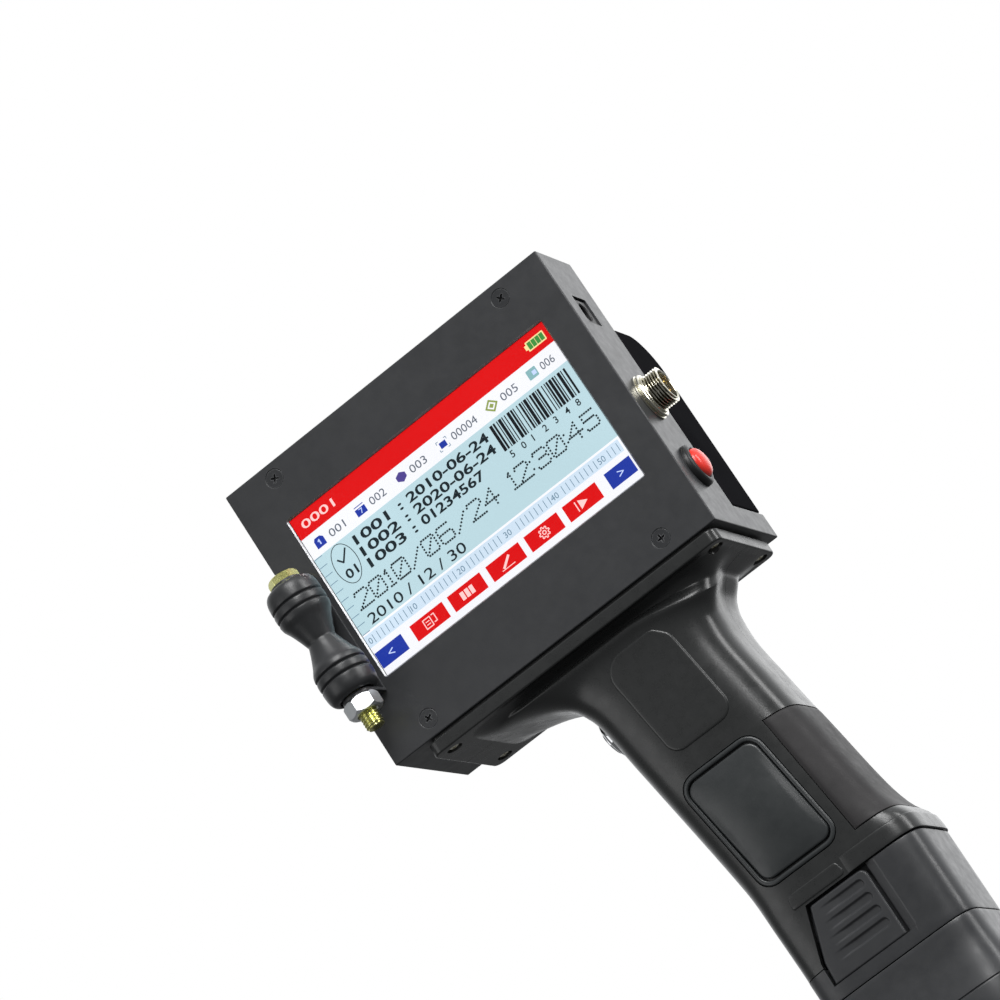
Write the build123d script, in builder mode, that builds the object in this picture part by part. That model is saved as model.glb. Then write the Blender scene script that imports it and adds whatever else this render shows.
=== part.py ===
from build123d import *
import os
from math import cos, radians, sin

# Handheld date code inkjet printer: a flat head on a pistol grip with a battery foot.
# Z is up, the screen looks along -Y, the print end is at -X and the socket end at +X.
# The origin is the centre of the battery foot's underside.
# Places are given in head coordinates: x from the print end, y from the front (screen)
# face towards the rear, z from the underside of the head.  at() turns them into the frame.

os.makedirs("parts", exist_ok=True)

CUT = Mode.SUBTRACT

# ------------------------------------------------------------- shared dimensions
FOOT_X = 85.0                   # foot centre in head coordinates
MID_Y = 24.5                    # middle plane of grip and foot
HEAD_Z = 160.0                  # height of the head's underside above the foot's

HEAD_L = 119.6                  # head length (x)
HEAD_H = 97.4                   # head height (z)
BOX_D = 27.4                    # depth of the thin electronics box (y)
BASE_D = 53.5                   # depth at the bottom ledge (y)
LEDGE_H = 8.4
WALL = 1.8                      # shell wall
FRONT_T = 2.0                   # front face thickness

WIN_W, WIN_H = 97.0, 56.0       # screen window
WIN_X, WIN_Z = 60.8, 51.4       # its centre
FRONT_SCREWS = [(x, z) for x in (16.1, 103.2) for z in (5.4, 92.5)]
FLANGE_SCREWS = [(x, y) for x in (16.2, 113.6) for y in (5.6, 43.4)]

CHASSIS_GAP = 1.9               # chassis edge to the outside of the head
CHASSIS_Y0, CHASSIS_Y1 = 25.5, 27.3
CHASSIS_Z = 6.6

HINGE_Y, HINGE_Z = 51.5, 10.4   # cartridge door hinge axis
HINGE_X = (20.0, 90.0)          # starts of the fixed knuckles
KNUCKLE_L, KNUCKLE_R = 10.0, 1.9
KNUCKLE_GAP = 0.3

CONN_Y, CONN_Z = 14.2, 45.25    # round socket on the end wall
BUTTON_Y, BUTTON_Z = 14.6, 20.5  # power button below it
PANEL_HOLE_R = 5.95             # end wall hole for either of them
PANEL_BODY_R = 5.9

BRACKET_SCREW_X = 5.2           # roller bracket screws
BRACKET_SCREW_Z = (36.0, 45.4)
ENC_SCREW_X = (24.5, 31.5)      # encoder bracket screws
ENC_SCREW_Z = 91.4

CABLE_X = 78.0                  # cable passage in the bottom of the head
CABLE_Y = 17.5


# ----------------------------------------------------------------------- helpers
def at(x, y, z):
    """Head coordinates to the model frame."""
    return (x - FOOT_X, y - MID_Y, z + HEAD_Z)


def end_plane(x, y=0, z=0):
    """Plane facing the socket end; its axes are y and z."""
    return Plane(origin=at(x, y, z), x_dir=(0, 1, 0), z_dir=(1, 0, 0))


def front_plane(y, x=0, z=0):
    """Plane facing the front; its axes are x and z, negative extrusions run rearward."""
    return Plane(origin=at(x, y, z), x_dir=(1, 0, 0), z_dir=(0, -1, 0))


def block(x0, x1, y0, y1, z0, z1, mode=Mode.ADD):
    with Locations(at((x0 + x1) / 2, (y0 + y1) / 2, (z0 + z1) / 2)):
        Box(x1 - x0, y1 - y0, z1 - z0, mode=mode)


def rod(axis, start, end, u, v, radius, mode=Mode.ADD):
    """Round bar along x, y or z; u and v are its other two coordinates, in order."""
    middle, length = (start + end) / 2, end - start
    if axis == "x":
        centre, turn = at(middle, u, v), (0, 90, 0)
    elif axis == "y":
        centre, turn = at(u, middle, v), (90, 0, 0)
    else:
        centre, turn = at(u, v, middle), (0, 0, 0)
    with Locations(centre):
        Cylinder(radius, length, rotation=turn, mode=mode)


def upper_rear(edge):
    """Sort key that puts the upper rear edge along x last."""
    return edge.center().Y + edge.center().Z


def save(builder, name):
    builder.part.label = name
    export_step(builder.part, "parts/" + name + ".step")


def save_spring(name, pitch, height, center, direction):
    with BuildPart() as spring:
        with BuildLine() as coil:
            Helix(pitch=pitch, height=height, radius=3.0, center=center, direction=direction)
        with BuildSketch(Plane(origin=coil.line @ 0, z_dir=coil.line % 0)):
            Circle(0.25)
        sweep(path=coil.line)
    save(spring, name)


# -------------------------------------------------------------------- head shell
BEVEL = 0.7                     # bevel around the screen window

with BuildPart() as front_shell:
    with BuildSketch(end_plane(0)):
        with BuildLine():
            Polyline((0, 0), (BASE_D, 0), (BASE_D, LEDGE_H), (BOX_D, LEDGE_H),
                     (BOX_D, HEAD_H), (0, HEAD_H), close=True)
        make_face()
    extrude(amount=HEAD_L)
    chamfer(front_shell.edges().filter_by(Axis.X).group_by(Axis.Y)[0], 0.4)
    # hollow, open at the rear
    with BuildSketch(end_plane(WALL)):
        with BuildLine():
            Polyline((FRONT_T, WALL), (BASE_D - WALL, WALL), (BASE_D - WALL, 12),
                     (BOX_D + 2, 12), (BOX_D + 2, HEAD_H - WALL), (FRONT_T, HEAD_H - WALL),
                     close=True)
        make_face()
    extrude(amount=HEAD_L - 2 * WALL, mode=CUT)
    # screen window with a bevelled rim
    with BuildSketch(front_plane(-1, WIN_X, WIN_Z)):
        RectangleRounded(WIN_W, WIN_H, 1.2)
    extrude(amount=-4, mode=CUT)
    with BuildSketch(front_plane(0, WIN_X, WIN_Z)):
        RectangleRounded(WIN_W + 2 * BEVEL, WIN_H + 2 * BEVEL, 1.8)
    extrude(amount=-BEVEL, taper=45, mode=CUT)
    # countersunk screw holes
    with Locations(*[Location(at(x, 0, z), (90, 0, 0)) for x, z in FRONT_SCREWS]):
        CounterSinkHole(1.6, 3.05, depth=4, counter_sink_angle=90)
    # end wall openings: power jack, round socket, button
    block(HEAD_L - 4, HEAD_L + 1, 7.0, 17.5, 72.3, 82.1, CUT)
    rod("x", HEAD_L - 4, HEAD_L + 1, CONN_Y, CONN_Z, PANEL_HOLE_R, CUT)
    rod("x", HEAD_L - 4, HEAD_L + 1, BUTTON_Y, BUTTON_Z, PANEL_HOLE_R, CUT)
    # grip screw holes and the cable passage in the bottom
    for x, y in FLANGE_SCREWS:
        rod("z", -1, 1.85, x, y, 1.25, CUT)
    rod("z", -1, 3, CABLE_X, CABLE_Y, 6.0, CUT)
    for z in BRACKET_SCREW_Z:
        rod("y", -1, 3, BRACKET_SCREW_X, z, 1.05, CUT)
save(front_shell, "front_shell")

with BuildPart() as rear_chassis:
    block(CHASSIS_GAP, HEAD_L - CHASSIS_GAP, CHASSIS_Y0, CHASSIS_Y1,
          CHASSIS_Z, HEAD_H - CHASSIS_GAP)
    block(CHASSIS_GAP, HEAD_L - CHASSIS_GAP, CHASSIS_Y0, BASE_D - CHASSIS_GAP,
          CHASSIS_Z, LEDGE_H)
    # posts for the front screws
    for x, z in FRONT_SCREWS:
        rod("y", FRONT_T, 25.6, x, z, 3.0)
        rod("y", FRONT_T - 1, 14, x, z, 1.5, CUT)
    # fixed hinge knuckles on the ledge
    for x in HINGE_X:
        rod("x", x, x + KNUCKLE_L, HINGE_Y, HINGE_Z, KNUCKLE_R)
        block(x, x + KNUCKLE_L, HINGE_Y - 1.6, HINGE_Y + 0.09, LEDGE_H - 0.2, HINGE_Z)
        rod("x", x - 1, x + KNUCKLE_L + 1, HINGE_Y, HINGE_Z, 1.05, CUT)
    for x in ENC_SCREW_X:
        rod("y", 24, 28, x, ENC_SCREW_Z, 1.05, CUT)
save(rear_chassis, "rear_chassis")

# cross-slotted countersunk screws
with BuildPart() as front_screws:
    for x, z in FRONT_SCREWS:
        with Locations(Location(at(x, 0.15, z), (-90, 0, 0))):
            Cone(2.85, 1.45, 1.45, align=(Align.CENTER, Align.CENTER, Align.MIN))
        rod("y", 1.5, 12.0, x, z, 1.45)
        block(x - 1.6, x + 1.6, -1, 1.2, z - 0.33, z + 0.33, CUT)
        block(x - 0.33, x + 0.33, -1, 1.2, z - 1.6, z + 1.6, CUT)
save(front_screws, "front_screws")

# ----------------------------------------------------------- display and electronics
GLASS_GAP = 0.3                 # total play of the glass in the window
LCD_W, LCD_H = 105.4, 67.0
BOARD_Y0, BOARD_Y1 = 9.0, 10.6  # front and rear of the main board
BOARD_HOLES = [(x, z) for x in (11, 93) for z in (17, 82)]

with BuildPart() as touch_glass:
    with BuildSketch(front_plane(BEVEL, WIN_X, WIN_Z)):
        RectangleRounded(WIN_W - GLASS_GAP, WIN_H - GLASS_GAP, 1.0)
    extrude(amount=-1.4)
save(touch_glass, "touch_glass")

with BuildPart() as lcd_module:
    block(WIN_X - LCD_W / 2, WIN_X + LCD_W / 2, 2.15, 5.6, WIN_Z - LCD_H / 2, WIN_Z + LCD_H / 2)
    chamfer(lcd_module.edges().filter_by(Axis.Y), 1.0)
save(lcd_module, "lcd_module")

with BuildPart() as main_board:
    block(7, 97, BOARD_Y0, BOARD_Y1, 13, 86)
    for x, z in BOARD_HOLES:
        rod("y", 8, 12, x, z, 1.6, CUT)
save(main_board, "main_board")

# rectangular parts on the rear of the board: x0, x1, height, z0, z1
BOARD_BLOCKS = [
    (40, 54, 1.4, 44, 58),
    (60, 72, 1.2, 48, 56),
    (24, 34, 3.0, 60, 70),
    (20, 30, 6.0, 20, 32),
    (70, 86, 5.0, 16, 24),
    (12, 20, 4.0, 40, 60),
]
with BuildPart() as board_components:
    for x0, x1, height, z0, z1 in BOARD_BLOCKS[:5]:
        block(x0, x1, BOARD_Y1, BOARD_Y1 + height, z0, z1)
    for x in (40, 50, 60):
        rod("y", BOARD_Y1, BOARD_Y1 + 8, x, 26, 3.2)
    for x0, x1, height, z0, z1 in BOARD_BLOCKS[5:]:
        block(x0, x1, BOARD_Y1, BOARD_Y1 + height, z0, z1)
save(board_components, "board_components")

with BuildPart() as board_standoffs:
    for x, z in BOARD_HOLES:
        rod("y", BOARD_Y1, CHASSIS_Y0, x, z, 2.6)
save(board_standoffs, "board_standoffs")

# ------------------------------------------------------------- end wall fittings
JACK_Y, JACK_Z = 11.8, 76.9
FLANGE_X = HEAD_L + 2.6         # outer face of the socket's hexagon
PINS = [(CONN_Y + 2.2 * cos(radians(45 + 90 * i)), CONN_Z + 2.2 * sin(radians(45 + 90 * i)))
        for i in range(4)]

with BuildPart() as dc_jack:
    block(HEAD_L - 13.5, HEAD_L - 0.5, 7.7, 16.8, 72.9, 81.4)
    rod("x", HEAD_L - 9.5, HEAD_L, JACK_Y, JACK_Z, 3.15, CUT)
    rod("x", HEAD_L - 9.6, HEAD_L - 1.5, JACK_Y, JACK_Z, 1.0)
save(dc_jack, "dc_jack")

with BuildPart() as connector_shell:
    with BuildSketch(end_plane(HEAD_L, CONN_Y, CONN_Z)):
        RegularPolygon(7.8, 6)
    extrude(amount=2.6)
    rod("x", HEAD_L - 10, HEAD_L + 7.4, CONN_Y, CONN_Z, PANEL_BODY_R)
    rod("x", FLANGE_X, HEAD_L + 8, CONN_Y, CONN_Z, 4.9, CUT)
    rod("x", HEAD_L - 11, HEAD_L + 3, CONN_Y, CONN_Z, 4.2, CUT)
save(connector_shell, "connector_shell")

with BuildPart() as connector_lock_nut:
    with BuildSketch(Plane(origin=at(HEAD_L - WALL, CONN_Y, CONN_Z),
                           x_dir=(0, 1, 0), z_dir=(-1, 0, 0))):
        RegularPolygon(8.3, 6)
        Circle(PANEL_HOLE_R, mode=CUT)
    extrude(amount=2.4)
save(connector_lock_nut, "connector_lock_nut")

with BuildPart() as connector_insert:
    rod("x", HEAD_L - 9, FLANGE_X, CONN_Y, CONN_Z, 4.15)
    rod("x", FLANGE_X, HEAD_L + 4.0, CONN_Y, CONN_Z, 4.5)
    for y, z in PINS:
        rod("x", HEAD_L - 10, HEAD_L + 5, y, z, 0.55, CUT)
save(connector_insert, "connector_insert")

with BuildPart() as connector_pins:
    for y, z in PINS:
        rod("x", HEAD_L - 12, HEAD_L + 6.6, y, z, 0.5)
save(connector_pins, "connector_pins")

with BuildPart() as power_button_bezel:
    rod("x", HEAD_L, HEAD_L + 2.4, BUTTON_Y, BUTTON_Z, 7.0)
    fillet(power_button_bezel.edges().filter_by(GeomType.CIRCLE).sort_by(Axis.X)[-1], 1.0)
    rod("x", HEAD_L - 16, HEAD_L + 0.1, BUTTON_Y, BUTTON_Z, PANEL_BODY_R)
    rod("x", HEAD_L - 9, HEAD_L + 3, BUTTON_Y, BUTTON_Z, 4.95, CUT)
    # hexagonal nut against the inside of the wall
    with BuildSketch(Plane(origin=at(HEAD_L - WALL, BUTTON_Y, BUTTON_Z),
                           x_dir=(0, 1, 0), z_dir=(-1, 0, 0))):
        RegularPolygon(7.8, 6)
        Circle(5.5, mode=CUT)
    extrude(amount=2.2)
save(power_button_bezel, "power_button_bezel")

BUTTON_R = 4.88
BUTTON_X = HEAD_L + 2.6         # where the cap starts to taper
with BuildPart() as power_button_cap:
    rod("x", HEAD_L - 3.5, BUTTON_X, BUTTON_Y, BUTTON_Z, BUTTON_R)
    with Locations(at(BUTTON_X, BUTTON_Y, BUTTON_Z)):
        Cone(BUTTON_R, 3.3, 1.3, rotation=(0, 90, 0),
             align=(Align.CENTER, Align.CENTER, Align.MIN))
    fillet(power_button_cap.edges().filter_by(GeomType.CIRCLE).sort_by(Axis.X)[-1], 1.2)
save(power_button_cap, "power_button_cap")

save_spring("power_button_spring", pitch=1.2, height=4.4,
            center=at(HEAD_L - 8.4, BUTTON_Y, BUTTON_Z), direction=(1, 0, 0))

# ------------------------------------------------------------------ guide roller
ROLL_X, ROLL_Y = 4.7, -9.7      # roller axis, in front of the head
ROLL_Z0, ROLL_Z1 = 20.9, 60.1
ROLL_MID_Z = (ROLL_Z0 + ROLL_Z1) / 2
ROLL_R, WAIST_R = 8.4, 4.5
GROOVE = 0.7                    # depth of the rings cut round the roller
BRACKET_T = 0.9
EAR_T = 1.0
EAR_Z = (19.8, 60.2)            # undersides of the bracket ears
EARS_TOP = EAR_Z[1] + EAR_T
NUT_H = 5.0

with BuildPart() as roller_bracket:
    block(0.4, 10.2, -BRACKET_T, 0, EAR_Z[0], EARS_TOP)
    for ear_z in EAR_Z:
        with BuildSketch(Plane(origin=at(0, 0, ear_z), x_dir=(1, 0, 0), z_dir=(0, 0, 1))):
            with BuildLine():
                Polyline((0.4, 0), (10.2, 0), (9.6, ROLL_Y), (-0.2, ROLL_Y), close=True)
            make_face()
            with Locations((ROLL_X, ROLL_Y)):
                Circle(4.95)
                Circle(3.1, mode=CUT)
        extrude(amount=EAR_T)
    for z in BRACKET_SCREW_Z:
        rod("y", -2, 1, BRACKET_SCREW_X, z, 1.1, CUT)
save(roller_bracket, "roller_bracket")

with BuildPart() as roller_bracket_screws:
    for z in BRACKET_SCREW_Z:
        rod("y", -2.0, -BRACKET_T, BRACKET_SCREW_X, z, 1.9)
        rod("y", -1.0, 5.0, BRACKET_SCREW_X, z, 0.98)
save(roller_bracket_screws, "roller_bracket_screws")

# upper half of the roller's outline, from its top to the waist: radius, z
ROLLER_UPPER = [
    (6.2, ROLL_Z1), (7.6, ROLL_Z1 - 0.8), (ROLL_R, ROLL_Z1 - 3.0),
    (ROLL_R, 54.6), (ROLL_R - GROOVE, 54.2), (ROLL_R, 53.8),
    (ROLL_R, 51.5), (ROLL_R - GROOVE, 51.1), (ROLL_R, 50.7),
    (8.1, 49.0), (7.3, 47.0), (WAIST_R, ROLL_MID_Z),
]
ROLLER_LOWER = [(r, 2 * ROLL_MID_Z - z) for r, z in reversed(ROLLER_UPPER[:-1])]

with BuildPart() as guide_roller:
    with BuildSketch(front_plane(ROLL_Y, ROLL_X)):
        with BuildLine():
            Polyline((3.06, ROLL_Z1 - 1.2), (5.2, ROLL_Z1 - 1.2), (5.6, ROLL_Z1),
                     *ROLLER_UPPER, *ROLLER_LOWER,
                     (5.6, ROLL_Z0), (5.2, ROLL_Z0 + 1.2), (3.06, ROLL_Z0 + 1.2), close=True)
        make_face()
    revolve(axis=Axis(at(ROLL_X, ROLL_Y, 0), (0, 0, 1)))
save(guide_roller, "guide_roller")

with BuildPart() as roller_bolt:
    rod("z", 9.8, 61.3, ROLL_X, ROLL_Y, 3.0)
    with BuildSketch(Plane(origin=at(ROLL_X, ROLL_Y, EARS_TOP), z_dir=(0, 0, 1))):
        RegularPolygon(5.0, 6)
    extrude(amount=2.9)
save(roller_bolt, "roller_bolt")

with BuildPart() as roller_nut:
    with BuildSketch(Plane(origin=at(ROLL_X, ROLL_Y, EAR_Z[0] - NUT_H), z_dir=(0, 0, 1))):
        RegularPolygon(5.77, 6)
        Circle(3.05, mode=CUT)
    extrude(amount=NUT_H)
save(roller_nut, "roller_nut")

# ----------------------------------------------------------------------- encoder
ENC_X, ENC_Y = 6.2, 41.0        # encoder axis
ENC_PLATE_Z0, ENC_PLATE_Z1 = 84.9, 86.3
ENC_TAB_Y = 28.9                # rear of the bracket's upright tab
TYRE_R, WHEEL_R, WHEEL_RECESS_R = 10.0, 8.0, 6.4
SHAFT_R = 2.0
WHEEL_Z0, WHEEL_Z1 = 78.6, 84.2
WHEEL_RECESS = 1.1              # depth of the recess in each face

with BuildPart() as encoder_bracket:
    block(0.6, 36, 27.5, 51.0, ENC_PLATE_Z0, ENC_PLATE_Z1)
    block(20, 36, CHASSIS_Y1, ENC_TAB_Y, ENC_PLATE_Z0, 95.4)
    rod("z", 84, 88, ENC_X, ENC_Y, 2.6, CUT)
    fillet(encoder_bracket.edges().filter_by(Axis.Z).group_by(Axis.Y)[-1], 5)
    for x in ENC_SCREW_X:
        rod("y", 26, 30, x, ENC_SCREW_Z, 1.1, CUT)
save(encoder_bracket, "encoder_bracket")

with BuildPart() as encoder_screws:
    for x in ENC_SCREW_X:
        rod("y", ENC_TAB_Y, 30.3, x, ENC_SCREW_Z, 2.0)
        rod("y", 22.0, 29.0, x, ENC_SCREW_Z, 1.0)
save(encoder_screws, "encoder_screws")

with BuildPart() as encoder_body:
    rod("z", ENC_PLATE_Z1, 96.8, ENC_X, ENC_Y, 7.4)
    block(ENC_X - 3, ENC_X + 12, ENC_Y - 5, ENC_Y + 5, ENC_PLATE_Z1, 94.0)
    chamfer(encoder_body.faces().sort_by(Axis.Z)[-1].edges(), 0.6)
    rod("z", 86, 93.6, ENC_X, ENC_Y, 2.06, CUT)
save(encoder_body, "encoder_body")

with BuildPart() as encoder_shaft:
    rod("z", 78.3, 93.2, ENC_X, ENC_Y, SHAFT_R)
save(encoder_shaft, "encoder_shaft")

with BuildPart() as encoder_wheel:
    rod("z", WHEEL_Z0, WHEEL_Z1, ENC_X, ENC_Y, WHEEL_R)
    rod("z", 78, WHEEL_Z0 + WHEEL_RECESS, ENC_X, ENC_Y, WHEEL_RECESS_R, CUT)
    rod("z", WHEEL_Z1 - WHEEL_RECESS, 85, ENC_X, ENC_Y, WHEEL_RECESS_R, CUT)
    rod("z", WHEEL_Z0, 84.5, ENC_X, ENC_Y, 3.4)
    rod("z", 78, 85, ENC_X, ENC_Y, SHAFT_R, CUT)
    for i in range(5):
        angle = radians(72 * i)
        rod("z", 79, 84, ENC_X + 4.9 * cos(angle), ENC_Y + 4.9 * sin(angle), 0.9, CUT)
save(encoder_wheel, "encoder_wheel")

with BuildPart() as encoder_tyre:
    rod("z", WHEEL_Z0, WHEEL_Z1, ENC_X, ENC_Y, TYRE_R)
    fillet(encoder_tyre.edges().filter_by(GeomType.CIRCLE), 0.9)
    rod("z", 78, 85, ENC_X, ENC_Y, WHEEL_R, CUT)
save(encoder_tyre, "encoder_tyre")

# ----------------------------------------------------------------- cartridge bay
COVER_Y, COVER_Z = 51.8, 73.0   # rear and top of the cartridge door
COVER_R = 13.0                  # its upper rear corner
COVER_WALL = 1.9
DOOR_X, DOOR_Z = 2.2, 8.7       # its print end and lower edge
MUZZLE_GAP = 0.1                # muzzle plate inside the door's outline
LATCH_X, LATCH_Z = 92, 50       # latch axis
CELL_END = 76.0                 # socket end of the cartridge body
NOZZLE_X = -0.6                 # print face of the cartridge

with BuildPart() as muzzle_plate:
    with BuildSketch(end_plane(0)):
        with BuildLine():
            Polyline((BOX_D, LEDGE_H), (COVER_Y - MUZZLE_GAP, LEDGE_H),
                     (COVER_Y - MUZZLE_GAP, COVER_Z - MUZZLE_GAP),
                     (BOX_D, COVER_Z - MUZZLE_GAP), close=True)
        make_face()
    extrude(amount=2.0)
    fillet(muzzle_plate.edges().filter_by(Axis.X).sort_by(upper_rear)[-1], COVER_R)
    block(-1, 3, 31.6, 46.4, 19.0, 43.4, CUT)
save(muzzle_plate, "muzzle_plate")

with BuildPart() as cartridge_cradle:
    block(2.1, 104, BOX_D, 29.2, 10.0, 70.0)    # upright plate
    block(2.1, 78, BOX_D, 47.0, 9.2, 11.2)      # lower shelf
    block(2.1, 70, BOX_D, 39.5, 64.0, 66.0)     # upper shelf
    block(13, 35, 26, 30, 21, 47, CUT)          # opening for the contact board
    rod("y", BOX_D, 31.0, LATCH_X, LATCH_Z, 3.4)
    rod("y", 26, 32, LATCH_X, LATCH_Z, 1.5, CUT)
save(cartridge_cradle, "cartridge_cradle")

with BuildPart() as contact_board:
    block(13.4, 34.6, BOX_D, 28.6, 21.4, 46.6)
    for column in range(4):
        for row in range(6):
            rod("y", 28.5, 29.3, 17.5 + 4.3 * column, 25 + 3.6 * row, 0.6)
save(contact_board, "contact_board")

with BuildPart() as cartridge_body:
    block(12.0, CELL_END, 29.4, 48.6, 11.4, 61.0)
    chamfer(cartridge_body.edges().filter_by(Axis.X).group_by(Axis.Y)[-1], 2.5)
    block(NOZZLE_X, 12.5, 32.2, 45.8, 19.8, 42.6)
    fillet(cartridge_body.faces().filter_by(Axis.X).sort_by(Axis.X)[0].edges(), 1.2)
save(cartridge_body, "cartridge_body")

with BuildPart() as cartridge_cap:
    block(CELL_END, 78.0, 29.8, 48.2, 11.8, 60.6)
    fillet(cartridge_cap.faces().sort_by(Axis.X)[-1].edges(), 1.2)
save(cartridge_cap, "cartridge_cap")

with BuildPart() as nozzle_plate:
    block(-0.8, NOZZLE_X, 35.5, 42.5, 22.8, 39.6)
save(nozzle_plate, "nozzle_plate")

INNER_Y, INNER_Z = COVER_Y - COVER_WALL, COVER_Z - COVER_WALL
ARC_Y, ARC_Z = COVER_Y - COVER_R, COVER_Z - COVER_R     # centre of the rounded corner
ARC_MID = (COVER_R - COVER_WALL) * sin(radians(45))

with BuildPart() as cartridge_door:
    with BuildSketch(end_plane(DOOR_X)):
        with BuildLine():
            Polyline((BOX_D + 0.3, DOOR_Z), (COVER_Y, DOOR_Z), (COVER_Y, COVER_Z),
                     (BOX_D + 0.3, COVER_Z), close=True)
        make_face()
    extrude(amount=HEAD_L - DOOR_X)
    fillet(cartridge_door.edges().filter_by(Axis.X).sort_by(upper_rear)[-1], COVER_R)
    # hollow, open at the front, below and at the print end
    with BuildSketch(end_plane(1)):
        with BuildLine():
            Line((BOX_D - 1, 7.0), (INNER_Y, 7.0))
            Line((INNER_Y, 7.0), (INNER_Y, ARC_Z))
            ThreePointArc((INNER_Y, ARC_Z), (ARC_Y + ARC_MID, ARC_Z + ARC_MID),
                          (ARC_Y, INNER_Z))
            Line((ARC_Y, INNER_Z), (BOX_D - 1, INNER_Z))
            Line((BOX_D - 1, INNER_Z), (BOX_D - 1, 7.0))
        make_face()
    extrude(amount=HEAD_L - 3.0, mode=CUT)
    # hinge knuckles on both sides of a notch for the fixed one
    for x in HINGE_X:
        notch0, notch1 = x - KNUCKLE_GAP, x + KNUCKLE_L + KNUCKLE_GAP
        block(notch0, notch1, HINGE_Y - 4, HINGE_Y + 3, 7, HINGE_Z + 2.6, CUT)
        for start, end in ((notch0 - KNUCKLE_L, notch0), (notch1, notch1 + KNUCKLE_L)):
            rod("x", start, end, HINGE_Y, HINGE_Z, KNUCKLE_R)
            rod("x", start - 0.5, end + 0.5, HINGE_Y, HINGE_Z, 1.06, CUT)
    # finger notch on the top edge
    block(HEAD_L / 2 - 9, HEAD_L / 2 + 9, BOX_D, BOX_D + 3.2, COVER_Z - 3, COVER_Z + 1, CUT)
save(cartridge_door, "cartridge_door")

with BuildPart() as hinge_pins:
    for x in HINGE_X:
        rod("x", x - 9.8, x + 19.8, HINGE_Y, HINGE_Z, 1.0)
save(hinge_pins, "hinge_pins")

# outlines of the latch arms: x, z
LATCH_HOOK = [(89.6, 53.2), (79.6, 43.2), (78.6, 36.0), (81.4, 35.4), (83.6, 41.2), (94.6, 47.0)]
LATCH_LEVER = [(90.4, 53.0), (91.6, 63.6), (94.2, 63.6), (95.6, 51.0)]

with BuildPart() as cartridge_latch:
    rod("y", 31.4, 43.0, LATCH_X, LATCH_Z, 4.2)
    for arm_y, outline, width in ((32.0, LATCH_HOOK, 10.0), (33.0, LATCH_LEVER, 8.0)):
        with BuildSketch(front_plane(arm_y)):
            with BuildLine():
                Polyline(*outline, close=True)
            make_face()
        extrude(amount=-width)
    rod("y", 30, 44, LATCH_X, LATCH_Z, 1.55, CUT)
save(cartridge_latch, "cartridge_latch")

with BuildPart() as latch_pin:
    rod("y", 27.5, 43.4, LATCH_X, LATCH_Z, 1.48)
    rod("y", 43.4, 44.4, LATCH_X, LATCH_Z, 2.4)
save(latch_pin, "latch_pin")

# -------------------------------------------------------------------------- grip
GRIP_T = 2.2                    # grip wall
LEAN = 0.15                     # lean of the grip towards the socket end per mm down
SEAM_Z = -103.6                 # grip to battery seam, sides and socket end
LIP_Z = -121.0                  # bottom of the grip's lip at the print end
FLANGE_Z = -5.0                 # underside of the top flange
SHADOW_GAP = 0.9                # inset step between flange and head
STRAP_T = 1.4
STRAP_TOP, STRAP_BOTTOM = -53.5, -94.5
PAD_Y = 17.4                    # pad pocket floor from the middle plane
GRIP_SCREWS = ((60.5, -15.4), (91.0, -25.6))    # x, z
SIDES = ((-1, "front"), (1, "rear"))            # -Y and +Y sides
SIDE_CUT = front_plane(-5)      # start of cuts right across the grip
SIDE_CUT_DEPTH = -60

# grip cross-sections: z, x at the print end, x at the socket end, half width, corner radius
GRIP_SECTIONS = [
    (-5.0, 22.0, 112.8, 23.6, 11.0),
    (-6.2, 26.5, 109.6, 21.9, 11.0),
    (-8.6, 34.5, 106.4, 20.3, 11.0),
    (-12.0, 43.6, 103.8, 19.2, 10.5),
    (-17.0, 50.0, 102.0, 18.6, 10.0),
    (-24.0, 53.0, 101.6, 18.5, 10.0),
    (-40.0, 55.4, 103.6, 18.5, 10.0),
    (-62.0, 58.7, 107.0, 18.5, 10.0),
    (-84.0, 62.0, 110.4, 18.5, 9.5),
    (-92.0, 63.1, 112.6, 18.5, 9.0),
    (-98.0, 63.5, 116.0, 18.6, 8.5),
    (-104.0, 63.7, 116.5, 18.6, 8.2),
    (-122.0, 64.0, 116.5, 18.6, 8.1),
]
# side outlines: x, z
STRAP_CLEAR = [(40, -10), (94.6, -10), (95.4, STRAP_TOP), (101.6, STRAP_BOTTOM),
               (101.9, -110), (40, -110)]
BELOW_SEAM = [(77.4, SEAM_Z), (130, SEAM_Z), (130, -125), (71.3, -125), (71.8, -119.6)]
PAD_POCKET = [(66.0, -55.6), (91.2, -55.6), (96.6, -91.8), (71.6, -91.8)]
PAD_OUTLINE = [(66.15, -55.75), (91.05, -55.75), (96.4, -91.65), (71.7, -91.65)]


def section_face(z, x0, x1, half_width, radius, inset=0.0):
    with BuildSketch(Plane(origin=at((x0 + x1) / 2, MID_Y, z), x_dir=(1, 0, 0),
                           z_dir=(0, 0, 1)), mode=Mode.PRIVATE) as section:
        RectangleRounded(x1 - x0 - 2 * inset, 2 * (half_width - inset),
                         max(radius - inset, 1.0))
    return section.sketch


def loft_sections(rows, inset=0.0, mode=Mode.ADD):
    loft([section_face(*row, inset) for row in rows], ruled=True, mode=mode)


def grip_loft(inset, top, bottom, mode=Mode.ADD):
    loft_sections([row for row in GRIP_SECTIONS if bottom <= row[0] <= top], inset, mode)


def lean_plane(z):
    """Plane square to the grip's leaning axis, at height z."""
    return Plane(origin=at(77.5 + LEAN * (-24.0 - z), MID_Y, z),
                 x_dir=Vector(1, 0, LEAN).normalized(),
                 z_dir=Vector(-LEAN, 0, 1).normalized())


# faces the print end, square to the leaning grip
TRIGGER = Plane(origin=at(53.45, MID_Y, -27.0), x_dir=(0, 1, 0),
                z_dir=Vector(-1, 0, -LEAN).normalized())

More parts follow.
